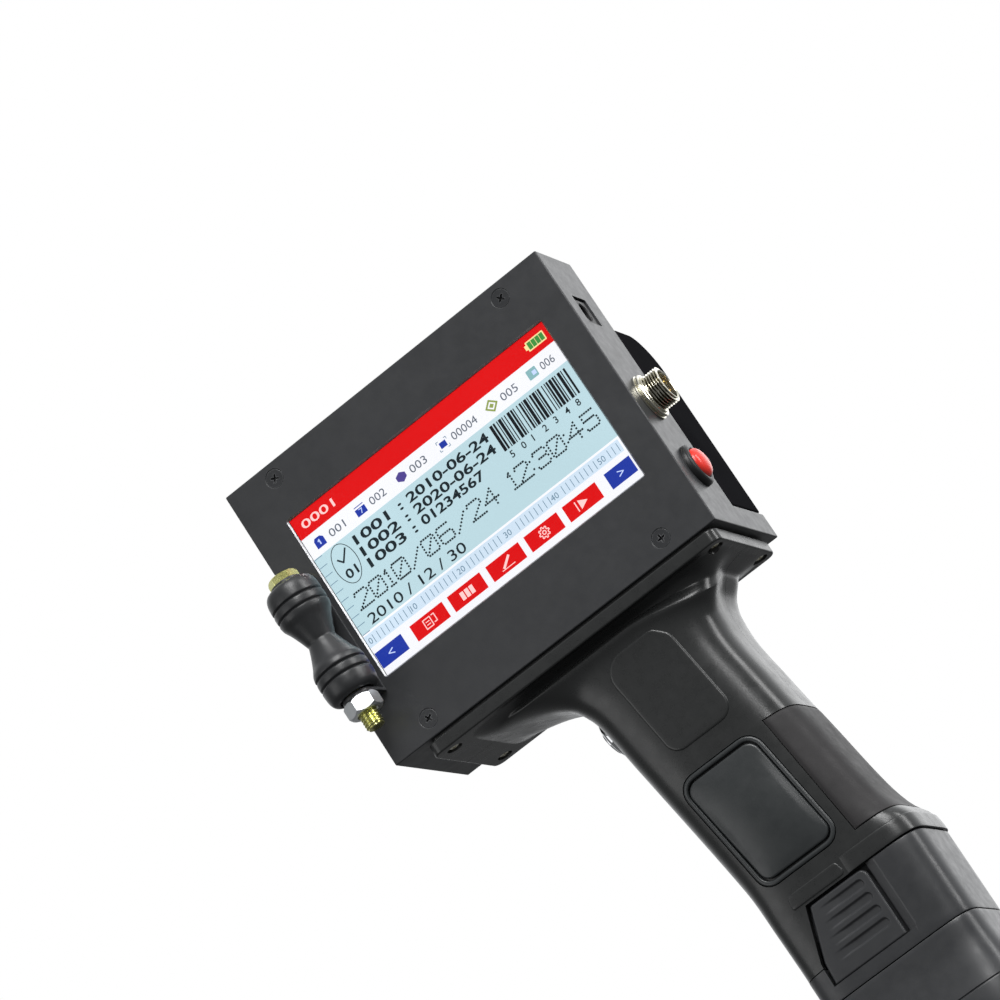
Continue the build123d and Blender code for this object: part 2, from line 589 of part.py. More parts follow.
# skin at the socket end of the grip; it stands 1 mm proud so that it cuts cleanly
with BuildPart() as strap_space:
    grip_loft(-1.0, -24.0, -104.0)
    grip_loft(STRAP_T, -24.0, -104.0, CUT)
    with BuildSketch(SIDE_CUT):
        with BuildLine():
            Polyline(*STRAP_CLEAR, close=True)
        make_face()
    extrude(amount=SIDE_CUT_DEPTH, mode=CUT)
    block(40, 130, -5, 60, STRAP_TOP, 0, CUT)
    block(40, 130, -5, 60, -120, STRAP_BOTTOM, CUT)

with BuildPart() as grip_back_strap:
    grip_loft(0.0, -24.0, -104.0)
    add(strap_space.part, mode=Mode.INTERSECT)
save(grip_back_strap, "grip_back_strap")

for side, side_name in SIDES:
    with BuildPart() as shell:
        # top flange with a shadow gap under the head
        with BuildSketch(Plane(origin=at(64.1, MID_Y, FLANGE_Z))):
            RectangleRounded(106.8, 48.8, 3.2)
        extrude(amount=-FLANGE_Z - SHADOW_GAP)
        with BuildSketch(Plane(origin=at(64.1, MID_Y, -SHADOW_GAP))):
            RectangleRounded(104.0, 46.0, 2.4)
        extrude(amount=SHADOW_GAP)
        grip_loft(0.0, FLANGE_Z, -122.0)
        # hollow for the battery stick, trigger and wiring
        grip_loft(GRIP_T, -12.0, -122.0, CUT)
        with BuildSketch(Plane(origin=at(77, 20.0, -12.2))):
            RectangleRounded(34, 22, 4)
        extrude(amount=13, mode=CUT)
        # open bottom: sides and socket end stop at the seam, the lip runs lower
        block(50, 130, -10, 60, -130, LIP_Z, CUT)
        with BuildSketch(SIDE_CUT):
            with BuildLine():
                Polyline(*BELOW_SEAM, close=True)
            make_face()
        extrude(amount=SIDE_CUT_DEPTH, mode=CUT)
        # pad pocket on the side and the strap recess
        with BuildSketch(front_plane(MID_Y + side * PAD_Y)):
            with BuildLine():
                Polyline(*PAD_POCKET, close=True)
            make_face()
        extrude(amount=-3 * side, mode=CUT)
        add(strap_space.part, mode=CUT)
        # trigger bore and its seat
        with BuildSketch(TRIGGER):
            Circle(6.0)
        extrude(amount=-8, mode=CUT)
        with BuildSketch(TRIGGER):
            Circle(7.4)
        extrude(amount=4, mode=CUT)
        # screw posts
        for x, z in GRIP_SCREWS:
            rod("y", MID_Y - 18.0, MID_Y + 18.0, x, z, 3.0)
            rod("y", MID_Y - 12.0, MID_Y + 18.8, x, z, 1.3, CUT)
            rod("y", MID_Y + 16.6, MID_Y + 19.5, x, z, 2.5, CUT)
        # flange screw holes
        for x, y in FLANGE_SCREWS:
            rod("z", -6, 1, x, y, 1.45, CUT)
            rod("z", -6, -3.2, x, y, 2.4, CUT)
        # keep one half
        if side < 0:
            block(-5, 135, MID_Y, 60, -130, 5, CUT)
        else:
            block(-5, 135, -10, MID_Y, -130, 5, CUT)
    save(shell, "grip_shell_" + side_name)

for side, side_name in SIDES:
    with BuildPart() as pad:
        with BuildSketch(front_plane(MID_Y + side * PAD_Y)):
            with BuildLine():
                Polyline(*PAD_OUTLINE, close=True)
            make_face()
        extrude(amount=-1.3 * side)
        fillet(pad.edges().filter_by(Axis.Y), 3.0)
    save(pad, "grip_pad_" + side_name)

with BuildPart() as grip_flange_screws:
    for x, y in FLANGE_SCREWS:
        rod("z", -4.8, -3.2, x, y, 2.2)
        rod("z", -3.3, 1.75, x, y, 1.2)
        block(x - 1.2, x + 1.2, y - 0.28, y + 0.28, -5, -4.0, CUT)
        block(x - 0.28, x + 0.28, y - 1.2, y + 1.2, -5, -4.0, CUT)
save(grip_flange_screws, "grip_flange_screws")

with BuildPart() as grip_shell_screws:
    for x, z in GRIP_SCREWS:
        rod("y", MID_Y + 16.6, MID_Y + 18.3, x, z, 2.4)
        rod("y", MID_Y - 11.5, MID_Y + 16.7, x, z, 1.25)
save(grip_shell_screws, "grip_shell_screws")

# ----------------------------------------------------------------------- trigger
SWITCH_TOP = -10.5              # bezel sleeve ends and switch begins
SWITCH_H = 7

with BuildPart() as trigger_bezel:
    with BuildSketch(TRIGGER):
        Circle(7.0)
    extrude(amount=1.6)
    fillet(trigger_bezel.edges().filter_by(GeomType.CIRCLE).sort_by(Axis.X)[0], 0.7)
    with BuildSketch(TRIGGER):
        Circle(5.95)
    extrude(amount=SWITCH_TOP)
    with BuildSketch(TRIGGER.offset(2)):
        Circle(4.3)
    extrude(amount=-11, mode=CUT)
save(trigger_bezel, "trigger_bezel")

with BuildPart() as trigger_cap:
    with BuildSketch(TRIGGER.offset(-4)):
        Circle(4.23)
    extrude(amount=6.6)
    fillet(trigger_cap.edges().filter_by(GeomType.CIRCLE).sort_by(Axis.X)[0], 0.8)
save(trigger_cap, "trigger_cap")

save_spring("trigger_spring", pitch=1.1, height=4.1,
            center=TRIGGER.offset(-8.6).origin, direction=TRIGGER.z_dir)

with BuildPart() as trigger_switch:
    with BuildSketch(TRIGGER.offset(SWITCH_TOP)):
        Rectangle(11, 8)
    extrude(amount=-SWITCH_H)
    # two terminal legs
    with BuildSketch(TRIGGER.offset(SWITCH_TOP - SWITCH_H)):
        with Locations((-3, 0), (3, 0)):
            Rectangle(0.8, 3)
    extrude(amount=-3.5)
save(trigger_switch, "trigger_switch")

# --------------------------------------------------- wiring between grip and head
TERMINAL_Z = -37.6
CONTACTS = (-8, 0, 8)           # offsets of the contacts along the grip's section

with BuildPart() as terminal_block:
    with BuildSketch(lean_plane(TERMINAL_Z)):
        Rectangle(26, 22)
    extrude(amount=5)
    for offset_y in (-14.6, 14.6):
        with BuildSketch(lean_plane(TERMINAL_Z)):
            with Locations((0, offset_y)):
                Rectangle(20, 3.4)
        extrude(amount=3)
save(terminal_block, "terminal_block")

with BuildPart() as terminal_springs:
    for offset_x in CONTACTS:
        with BuildSketch(lean_plane(TERMINAL_Z)):
            with Locations((offset_x, 0)):
                Rectangle(3.4, 8)
        extrude(amount=-2.6)
save(terminal_springs, "terminal_springs")

# cable centre line, from the terminal block up into the head
CABLE_POINTS = [
    (79.5, 24.5, -32.3), (79.3, 23.6, -22), (78.6, 19.4, -8),
    (CABLE_X, 17.0, 1), (CABLE_X, 14.4, 9), (CABLE_X, 13.1, 15.9),
]
with BuildPart() as power_cable:
    with BuildLine() as cable_path:
        Spline(*[at(*point) for point in CABLE_POINTS], tangents=((0, 0, 1), (0, 0, 1)))
    with BuildSketch(Plane(origin=cable_path.line @ 0, z_dir=cable_path.line % 0)):
        Circle(1.8)
    sweep(path=cable_path.line)
save(power_cable, "power_cable")

# ------------------------------------------------------------------ battery pack
STICK_TOP = -41.0               # top of the stick inside the grip
FOOT_Z = -131.2                 # case to foot seam
# side outlines: x, z
LIP_ROOM = [(50, -90), (77.9, -90), (77.9, SEAM_Z), (72.3, -119.7),
            (72.0, LIP_Z - 0.3), (50, LIP_Z - 0.3)]
TONGUE_POCKET = [(77.5, -100), (98.2, -100), (98.2, -127.1), (71.9, -127.1),
                 (72.1, -119.7), (77.5, SEAM_Z)]
TONGUE_X0, TONGUE_X1 = 72.6, 97.5
TONGUE_TOP, TONGUE_BOTTOM = -104.5, -126.0
TONGUE = [(78.3, TONGUE_TOP), (TONGUE_X1, TONGUE_TOP), (TONGUE_X1, TONGUE_BOTTOM),
          (TONGUE_X0, TONGUE_BOTTOM), (72.8, -120.0)]

with BuildPart() as battery_case:
    with BuildSketch(Plane(origin=at(90.15, MID_Y, FOOT_Z))):
        RectangleRounded(52.5, 37.2, 8.1)
    extrude(amount=SEAM_Z - 0.25 - FOOT_Z)
    # room for the grip's lip
    with BuildSketch(SIDE_CUT):
        with BuildLine():
            Polyline(*LIP_ROOM, close=True)
        make_face()
    extrude(amount=SIDE_CUT_DEPTH, mode=CUT)
    # stick inside the grip
    with BuildSketch(lean_plane(STICK_TOP)):
        RectangleRounded(41.8, 31.4, 8.6)
    extrude(amount=-84)
    block(40, 135, -5, 60, -150, FOOT_Z, CUT)
    # cell space, open at the bottom
    with BuildSketch(lean_plane(STICK_TOP - 1.4)):
        RectangleRounded(38.8, 28.6, 7)
    extrude(amount=-100, mode=CUT)
    # pockets behind the two release tongues
    for side, _ in SIDES:
        with BuildSketch(front_plane(MID_Y + side * 14.6)):
            with BuildLine():
                Polyline(*TONGUE_POCKET, close=True)
            make_face()
        extrude(amount=-6 * side, mode=CUT)
save(battery_case, "battery_case")

# foot cross-sections, same columns as the grip's
FOOT_SECTIONS = [
    (FOOT_Z - 0.1, 63.9, 116.4, 18.6, 8.1),
    (-137.0, 61.2, 116.6, 18.8, 8.5),
    (-146.0, 55.8, 117.5, 20.0, 9.5),
    (-154.0, 52.6, 118.0, 21.3, 10.0),
    (-158.6, 52.0, 118.0, 21.6, 10.5),
    (-160.0, 53.2, 116.8, 20.4, 9.5),
]
FOOT_FLOOR_Z = -157.4
with BuildPart() as battery_foot:
    loft_sections(FOOT_SECTIONS)
    loft_sections([*FOOT_SECTIONS[:4], (FOOT_FLOOR_Z, *FOOT_SECTIONS[4][1:])], 2.4, CUT)
    block(66, 114, 9, 40, FOOT_Z - 5, FOOT_Z + 2, CUT)
save(battery_foot, "battery_foot")

with BuildPart() as battery_cells:
    for offset_x in (-9.6, 9.6):
        with BuildSketch(lean_plane(STICK_TOP - 2.2)):
            with Locations((offset_x, 0)):
                Circle(9.2)
        extrude(amount=-65.2)
save(battery_cells, "battery_cells")

with BuildPart() as battery_board:
    with BuildSketch(lean_plane(STICK_TOP - 69.5)):
        RectangleRounded(35, 25, 6)
    extrude(amount=-1.6)
save(battery_board, "battery_board")

with BuildPart() as battery_contacts:
    for offset_x in CONTACTS:
        with BuildSketch(lean_plane(STICK_TOP)):
            with Locations((offset_x, 0)):
                Rectangle(4.4, 9)
        extrude(amount=0.5)
save(battery_contacts, "battery_contacts")

# release tongues with a bead along the bottom and four finger grooves
GROOVE_X1 = 95.6
for side, side_name in SIDES:
    with BuildPart() as tongue:
        with BuildSketch(front_plane(MID_Y + side * 16.4)):
            with BuildLine():
                Polyline(*TONGUE, close=True)
            make_face()
        extrude(amount=-1.6 * side)
        fillet(tongue.edges().filter_by(Axis.Y).group_by(Axis.Z)[-1], 1.6)
        rod("x", TONGUE_X0, TONGUE_X1, MID_Y + side * 17.2, TONGUE_BOTTOM, 0.8)
        for i in range(4):
            groove_x0 = 79.6 - 1.15 * i
            groove_z = -107.6 - 4.35 * i
            with BuildSketch(front_plane(MID_Y + side * 18.0,
                                         (groove_x0 + GROOVE_X1) / 2, groove_z)):
                RectangleRounded(GROOVE_X1 - groove_x0, 2.5, 1.2)
            extrude(amount=0.5 * side, mode=CUT)
    save(tongue, "battery_latch_" + side_name)
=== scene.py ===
import math
import bpy
import bmesh
from mathutils import Matrix, Vector


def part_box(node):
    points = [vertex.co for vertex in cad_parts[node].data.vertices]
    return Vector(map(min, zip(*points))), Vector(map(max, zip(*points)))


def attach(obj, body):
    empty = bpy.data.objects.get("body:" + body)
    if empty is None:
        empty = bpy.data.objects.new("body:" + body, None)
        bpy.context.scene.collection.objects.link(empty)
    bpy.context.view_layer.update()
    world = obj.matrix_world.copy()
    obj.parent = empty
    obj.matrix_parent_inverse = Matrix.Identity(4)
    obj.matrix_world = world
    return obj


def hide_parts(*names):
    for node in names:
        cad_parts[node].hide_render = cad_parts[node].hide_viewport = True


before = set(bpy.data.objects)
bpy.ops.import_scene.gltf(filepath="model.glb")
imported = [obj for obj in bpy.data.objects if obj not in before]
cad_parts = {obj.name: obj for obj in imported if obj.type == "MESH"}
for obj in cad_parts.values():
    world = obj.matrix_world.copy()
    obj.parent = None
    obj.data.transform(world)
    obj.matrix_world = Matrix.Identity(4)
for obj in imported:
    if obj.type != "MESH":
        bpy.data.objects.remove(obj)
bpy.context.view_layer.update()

# Head coordinates: millimetres from the head's lowest front corner at the print end,
# x towards the sockets, y from the screen face backwards, z up.
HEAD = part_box("front_shell")[0]
MM = 0.001
SCENE = bpy.context.scene


def P(x, y, z):
    return HEAD + Vector((x, y, z)) * MM


def lo(node):
    """Lowest corner of a CAD node in head millimetres."""
    return (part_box(node)[0] - HEAD) / MM


def hi(node):
    return (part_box(node)[1] - HEAD) / MM


def mid(node):
    return (lo(node) + hi(node)) / 2


# ------------------------------------------------------------------ materials
def rgb(r, g, b):
    """Linear colour from 0-255 display values."""
    def f(c):
        c = c / 255
        return c / 12.92 if c <= 0.04045 else ((c + 0.055) / 1.055) ** 2.4
    return (f(r), f(g), f(b), 1.0)


class Mat:
    """Small helper for a Principled material built from nodes."""

    def __init__(self, name):
        self.m = bpy.data.materials.new(name)
        self.m.use_nodes = True
        self.t = self.m.node_tree
        self.b = self.t.nodes["Principled BSDF"]
        self.x = -300
        self.coord = self.t.nodes.new("ShaderNodeTexCoord")
        self.geo = None

    def node(self, kind, **kw):
        n = self.t.nodes.new(kind)
        self.x -= 40
        n.location = (self.x, 0)
        for k, v in kw.items():
            setattr(n, k, v)
        return n

    def link(self, a, b):
        self.t.links.new(a, b)

    def set(self, **kw):
        for k, v in kw.items():
            self.b.inputs[k.replace("_", " ")].default_value = v

    def noise(self, scale, detail=3.0, rough=0.5, stretch=None):
        n = self.node("ShaderNodeTexNoise")
        n.inputs["Scale"].default_value = scale
        n.inputs["Detail"].default_value = detail
        n.inputs["Roughness"].default_value = rough
        src = self.coord.outputs["Object"]
        if stretch:
            mp = self.node("ShaderNodeMapping")
            mp.inputs["Scale"].default_value = stretch
            self.link(src, mp.inputs["Vector"])
            src = mp.outputs["Vector"]
        self.link(src, n.inputs["Vector"])
        return n.outputs["Fac"]

    def ramp(self, fac, stops):
        n = self.node("ShaderNodeValToRGB")
        e = n.color_ramp.elements
        while len(e) < len(stops):
            e.new(0.5)
        for el, (p, c) in zip(e, stops):
            el.position = p
            el.color = c if len(c) == 4 else (*c, 1)
        self.link(fac, n.inputs["Fac"])
        return n.outputs["Color"]

    def maprange(self, fac, a, b, c, d):
        n = self.node("ShaderNodeMapRange")
        n.inputs["From Min"].default_value = a
        n.inputs["From Max"].default_value = b
        n.inputs["To Min"].default_value = c
        n.inputs["To Max"].default_value = d
        self.link(fac, n.inputs["Value"])
        return n.outputs["Result"]

    def mix(self, fac, a, b):
        n = self.node("ShaderNodeMix", data_type="RGBA")
        if isinstance(fac, (int, float)):
            n.inputs[0].default_value = fac
        else:
            self.link(fac, n.inputs[0])
        for v, i in ((a, 6), (b, 7)):
            if isinstance(v, tuple):
                n.inputs[i].default_value = v
            else:
                self.link(v, n.inputs[i])
        return n.outputs[2]

    def bump(self, heights, chain=None):
        """heights: list of (socket, strength, distance in metres)."""
        last = chain
        for h, s, d in heights:
            n = self.node("ShaderNodeBump")
            n.inputs["Strength"].default_value = s
            n.inputs["Distance"].default_value = d
            self.link(h, n.inputs["Height"])
            if last is not None:
                self.link(last, n.inputs["Normal"])
            last = n.outputs["Normal"]
        self.link(last, self.b.inputs["Normal"])
        return last

    def edge(self, radius=0.0006, gain=6.0):
        """1 near convex and concave edges, from the difference between the rounded and the true normal."""
        bv = self.node("ShaderNodeBevel")
        bv.samples = 4
        bv.inputs["Radius"].default_value = radius
        g = self.node("ShaderNodeNewGeometry")
        d = self.node("ShaderNodeVectorMath", operation="DOT_PRODUCT")
        self.link(bv.outputs["Normal"], d.inputs[0])
        self.link(g.outputs["Normal"], d.inputs[1])
        m = self.node("ShaderNodeMath", operation="MULTIPLY_ADD")
        m.inputs[1].default_value = -gain
        m.inputs[2].default_value = gain
        m.use_clamp = True
        self.link(d.outputs["Value"], m.inputs[0])
        return m.outputs[0]


def moulded(name, base, base2, rough=(0.35, 0.5), grain=2600, bump=0.25, edge=None, spec=0.5, coat=0.0, depth=0.00005,
            wear_scale=260, edge_gain=5.0, edge_radius=0.0005):
    """Moulded or painted surface: broad colour drift, fine grain, uneven gloss and lighter edges, part edge wear and
    part painted edge highlight.
    """
    m = Mat(name)
    broad = m.noise(38, 4, 0.55)
    fine = m.noise(grain, 2, 0.6)
    smear = m.noise(wear_scale, 5, 0.65)
    col = m.mix(m.maprange(broad, 0.3, 0.7, 0.0, 1.0), base, base2)
    # lighter colour at convex and concave edges: part edge wear, part painted edge highlight
    if edge:
        e = m.edge(edge_radius, edge_gain)
        k = m.node("ShaderNodeMath", operation="MULTIPLY")
        m.link(e, k.inputs[0])
        m.link(m.maprange(smear, 0.42, 0.62, 0.35, 1.0), k.inputs[1])
        col = m.mix(k.outputs[0], col, edge)
    m.link(col, m.b.inputs["Base Color"])
    m.link(m.maprange(smear, 0.3, 0.7, rough[0], rough[1]), m.b.inputs["Roughness"])
    m.set(Specular_IOR_Level=spec, Coat_Weight=coat, Coat_Roughness=0.12)
    m.bump([(fine, bump, depth), (m.noise(grain / 9, 2, 0.5), bump * 0.5, depth * 2)])
    return m.m


def metal(name, c1, c2, rough=(0.18, 0.34), brush=None, scale=420, bump=0.12, dirt=None):
    """Plated or bare metal: tarnish patches, machining lines and fine scratches."""
    m = Mat(name)
    patch = m.noise(150, 4, 0.6)
    fine = m.noise(scale * 6, 3, 0.6, stretch=brush)
    col = m.mix(m.maprange(patch, 0.35, 0.65, 0.0, 1.0), c1, c2)
    if dirt:
        e = m.edge(0.0005, 3.0)
        k = m.node("ShaderNodeMath", operation="MULTIPLY")
        m.link(e, k.inputs[0])
        m.link(m.maprange(patch, 0.4, 0.6, 0.2, 0.9), k.inputs[1])
        col = m.mix(k.outputs[0], col, dirt)
    m.link(col, m.b.inputs["Base Color"])
    m.set(Metallic=1.0)
    m.link(m.maprange(fine, 0.3, 0.7, rough[0], rough[1]), m.b.inputs["Roughness"])
    m.bump([(fine, bump, 0.00002), (m.noise(scale, 3, 0.5), bump, 0.00003)])
    return m.m


def lit(name, colour, drift=0.04, strength=1.0):
    """A lit screen colour: mostly emission, with the panel's fine cell pattern and a soft surface reflection."""
    m = Mat(name)
    cell = m.node("ShaderNodeTexWave", wave_type="BANDS", bands_direction="X")
    cell.inputs["Scale"].default_value = 900
    m.link(m.coord.outputs["Object"], cell.inputs["Vector"])
    glow = m.noise(14, 2, 0.5)
    dark = tuple(c * (1 - drift) for c in colour[:3]) + (1.0,)
    light = tuple(min(c * (1 + drift), 1.0) for c in colour[:3]) + (1.0,)
    a = m.mix(m.maprange(glow, 0.35, 0.65, 0.0, 1.0), dark, light)
    b = m.mix(m.maprange(cell.outputs["Fac"], 0.0, 1.0, 0.0, 0.06), a, (0.0, 0.0, 0.0, 1.0))
    m.link(b, m.b.inputs["Emission Color"])
    m.link(b, m.b.inputs["Base Color"])
    m.set(Emission_Strength=strength, Specular_IOR_Level=0.25)
    dim = m.mix(0.85, b, (0.0, 0.0, 0.0, 1.0))
    m.link(dim, m.b.inputs["Base Color"])
    m.link(m.maprange(glow, 0.3, 0.7, 0.28, 0.36), m.b.inputs["Roughness"])
    return m.m


M = {}
# edge= colours below are lighter edge tones, part edge wear and part painted edge highlight
M["shell"] = moulded("mat_shell", rgb(50, 51, 53), rgb(55, 56, 58), (0.34, 0.44), 2400, 0.16, edge=rgb(112, 114, 116), spec=0.5, edge_gain=1.6)
M["chassis"] = moulded("mat_chassis", rgb(44, 45, 46), rgb(50, 51, 52), (0.42, 0.52), 2400, 0.2, edge=rgb(86, 86, 87))
M["cover"] = moulded("mat_cover", rgb(25, 25, 27), rgb(30, 30, 32), (0.5, 0.62), 1500, 0.05, edge=rgb(46, 46, 48), spec=0.0, edge_gain=1.6)
M["grip"] = moulded("mat_grip", rgb(39, 40, 40), rgb(44, 45, 45), (0.24, 0.34), 2000, 0.1, edge=rgb(62, 64, 66), spec=0.5, edge_gain=1.2)
M["soft"] = moulded("mat_soft_grip", rgb(43, 46, 47), rgb(48, 51, 52), (0.3, 0.4), 3000, 0.2, edge=rgb(66, 69, 70), spec=0.55, depth=0.00004, edge_gain=1.2)
M["batt"] = moulded("mat_battery", rgb(50, 51, 53), rgb(55, 56, 58), (0.3, 0.42), 3000, 0.22, edge=rgb(72, 73, 75), spec=0.5, depth=0.00005, edge_gain=1.2)
M["strap"] = moulded("mat_strap", rgb(38, 37, 38), rgb(44, 42, 43), (0.5, 0.62), 2600, 0.3, edge=rgb(66, 65, 66), spec=0.3, depth=0.00006, edge_gain=1.2)
M["latch"] = moulded("mat_latch", rgb(50, 51, 53), rgb(56, 57, 59), (0.34, 0.46), 2600, 0.25, edge=rgb(76, 77, 79), depth=0.00005, edge_gain=1.4)
M["black"] = moulded("mat_black_plastic", rgb(24, 24, 25), rgb(30, 30, 31), (0.4, 0.55), 2400, 0.25, edge=rgb(56, 56, 57))
M["gloss"] = moulded("mat_gloss_black", rgb(26, 27, 28), rgb(31, 32, 33), (0.34, 0.44), 1500, 0.05, edge=rgb(52, 52, 54), spec=0.35)
M["roller"] = moulded("mat_roller_rubber", rgb(40, 41, 42), rgb(47, 48, 50), (0.3, 0.44), 1700, 0.22, edge=rgb(70, 71, 72), spec=0.5, wear_scale=420, depth=0.00006, edge_gain=1.6)
M["tyre"] = moulded("mat_tyre", rgb(30, 30, 31), rgb(40, 40, 41), (0.6, 0.8), 1300, 0.6, edge=rgb(70, 70, 70), spec=0.35, depth=0.0001)
M["red"] = moulded("mat_red_cap", rgb(230, 52, 40), rgb(240, 64, 50), (0.24, 0.34), 1600, 0.06, edge=rgb(250, 110, 96), spec=0.45, coat=0.1)
M["nickel"] = metal("mat_nickel", rgb(236, 233, 218), rgb(222, 218, 200), (0.17, 0.27), dirt=rgb(66, 62, 46), bump=0.05)
# darker metal for the thread roots: painted shade in the grooves
M["groove"] = metal("mat_thread_root_painted_shade", rgb(104, 99, 82), rgb(84, 80, 64), (0.3, 0.42), dirt=rgb(44, 42, 32), bump=0.05)
M["chrome"] = metal("mat_chrome", rgb(226, 227, 228), rgb(206, 207, 210), (0.05, 0.12), dirt=rgb(110, 110, 112))
M["zinc_y"] = metal("mat_zinc_yellow", rgb(226, 226, 158), rgb(210, 208, 132), (0.2, 0.32), dirt=rgb(112, 106, 54), bump=0.04)
M["zinc_w"] = metal("mat_zinc_white", rgb(248, 250, 251), rgb(234, 238, 240), (0.3, 0.42), dirt=rgb(150, 156, 160), bump=0.04)
M["steel"] = metal("mat_steel", rgb(180, 181, 184), rgb(160, 161, 164), (0.24, 0.4))
M["alu"] = metal("mat_aluminium", rgb(200, 201, 205), rgb(186, 187, 190), (0.22, 0.36), brush=(1, 1, 12))
M["black_steel"] = metal("mat_black_steel", rgb(58, 58, 60), rgb(44, 44, 46), (0.28, 0.42), dirt=rgb(120, 120, 122))
M["gold"] = metal("mat_gold", rgb(236, 200, 116), rgb(220, 180, 92), (0.18, 0.3))
M["bare"] = metal("mat_bare_edge", rgb(168, 169, 171), rgb(140, 141, 143), (0.34, 0.46))
M["pcb"] = moulded("mat_solder_mask", rgb(20, 92, 52), rgb(26, 104, 60), (0.28, 0.4), 900, 0.3, edge=rgb(120, 140, 90), coat=0.2)
M["parts"] = moulded("mat_components", rgb(34, 34, 36), rgb(44, 44, 46), (0.4, 0.6), 1400, 0.3, edge=rgb(84, 84, 86))
M["wrap"] = moulded("mat_cell_wrap", rgb(52, 86, 160), rgb(60, 96, 172), (0.25, 0.35), 900, 0.12, edge=rgb(120, 146, 196), coat=0.2)
M["cart"] = moulded("mat_cartridge", rgb(38, 38, 41), rgb(46, 46, 49), (0.36, 0.5), 2200, 0.3, edge=rgb(84, 84, 88))
M["cable"] = moulded("mat_cable", rgb(26, 26, 27), rgb(34, 34, 35), (0.45, 0.6), 1200, 0.3, edge=rgb(60, 60, 60))
# front screw heads: the strong light edge tone is a painted highlight ring on the rim and recess edges, with some edge
# wear
M["screw"] = moulded("mat_front_screw", rgb(46, 47, 49), rgb(54, 55, 57), (0.22, 0.32), 2400, 0.1, edge=rgb(150, 151, 153), spec=0.6, edge_gain=3.0, edge_radius=0.0004)
# near-black surface for recesses: painted shade
M["dark"] = moulded("mat_recess_painted_shade", rgb(12, 12, 13), rgb(16, 16, 17), (0.5, 0.7), 1600, 0.2)


# ------------------------------------------------------------- mesh utilities
def new_mesh(name, verts, faces):
    me = bpy.data.meshes.new(name)
    me.from_pydata([tuple(v) for v in verts], [], faces)
    me.validate()
    return me


def fix_normals(me):
    bm = bmesh.new()
    bm.from_mesh(me)
    bmesh.ops.recalc_face_normals(bm, faces=bm.faces)
    bm.to_mesh(me)
    bm.free()
    return me


def evaluate(me, build):
    """Runs modifiers added by build(obj) on the mesh and returns the result as a new mesh."""
    ob = bpy.data.objects.new("tmp_eval", me)
    SCENE.collection.objects.link(ob)
    extra = build(ob) or []
    bpy.context.view_layer.update()
    dg = bpy.context.evaluated_depsgraph_get()
    out = bpy.data.meshes.new_from_object(ob.evaluated_get(dg), depsgraph=dg)
    for o in [ob] + extra:
        bpy.data.objects.remove(o)
    return out


def boolean(me, others, op="DIFFERENCE"):
    def build(ob):
        made = []
        for k, other in enumerate(others):
            c = bpy.data.objects.new("tmp_cut%d" % k, other)
            SCENE.collection.objects.link(c)
            c.hide_render = True
            made.append(c)
            mod = ob.modifiers.new("b%d" % k, "BOOLEAN")
            mod.operation = op
            mod.solver = "EXACT"
            mod.object = c
        return made
    return evaluate(me, build)


def cut(me, *others):
    return boolean(me, others, "DIFFERENCE")


def union(me, *others):
    return boolean(me, others, "UNION")


def keep(me, *others):
    return boolean(me, others, "INTERSECT")


def join(*meshes):
    bm = bmesh.new()
    for m in meshes:
        bm.from_mesh(m)
    out = bpy.data.meshes.new("joined")
    bm.to_mesh(out)
    bm.free()
    return out


def bevel(me, width, seg=2, angle=30, pick=None):
    bm = bmesh.new()
    bm.from_mesh(me)
    bmesh.ops.recalc_face_normals(bm, faces=bm.faces)
    lim = math.radians(angle)
    es = [e for e in bm.edges if len(e.link_faces) == 2 and e.calc_face_angle(0) > lim and (pick is None or pick(e))]
    bmesh.ops.bevel(bm, geom=es, offset=width, segments=seg, profile=0.5, affect="EDGES", clamp_overlap=True)
    out = bpy.data.meshes.new("bevelled")
    bm.to_mesh(out)
    bm.free()
    return out


def box(x0, x1, y0, y1, z0, z1):
    v = [(x, y, z) for x in (x0, x1) for y in (y0, y1) for z in (z0, z1)]
    f = [(0, 1, 3, 2), (4, 6, 7, 5), (0, 4, 5, 1), (2, 3, 7, 6), (0, 2, 6, 4), (1, 5, 7, 3)]
    return fix_normals(new_mesh("box", v, f))


def rbox(x0, x1, y0, y1, z0, z1, r=0.4, seg=2):
    return bevel(box(x0, x1, y0, y1, z0, z1), r, seg)


def frame_axes(axis):
    """(along, u, v) unit vectors for x, y or z, or for any direction."""
    if isinstance(axis, str):
        return {"x": (Vector((1, 0, 0)), Vector((0, 1, 0)), Vector((0, 0, 1))),
                "y": (Vector((0, 1, 0)), Vector((0, 0, 1)), Vector((1, 0, 0))),
                "z": (Vector((0, 0, 1)), Vector((1, 0, 0)), Vector((0, 1, 0)))}[axis]
    a = Vector(axis).normalized()
    u = Vector((0, 1, 0)) if abs(a.y) < 0.9 else Vector((1, 0, 0))
    v = a.cross(u).normalized()
    return a, v.cross(a).normalized(), v


def prism(outline, axis, a0, a1, centre=(0, 0, 0)):
    """Closed prism: outline points are (u, v) in the plane across the axis; for x they are (y, z),
    for y they are (x, z), for z they are (x, y)."""
    n = len(outline)
    v = []
    for a in (a0, a1):
        for p, q in outline:
            if axis == "x":
                v.append((a, p, q))
            elif axis == "y":
                v.append((p, a, q))
            else:
                v.append((p, q, a))
    f = [tuple(range(n)), tuple(range(2 * n - 1, n - 1, -1))]
    f += [(i, (i + 1) % n, n + (i + 1) % n, n + i) for i in range(n)]
    me = new_mesh("prism", [Vector(p) + Vector(centre) for p in v], f)
    return fix_normals(me)


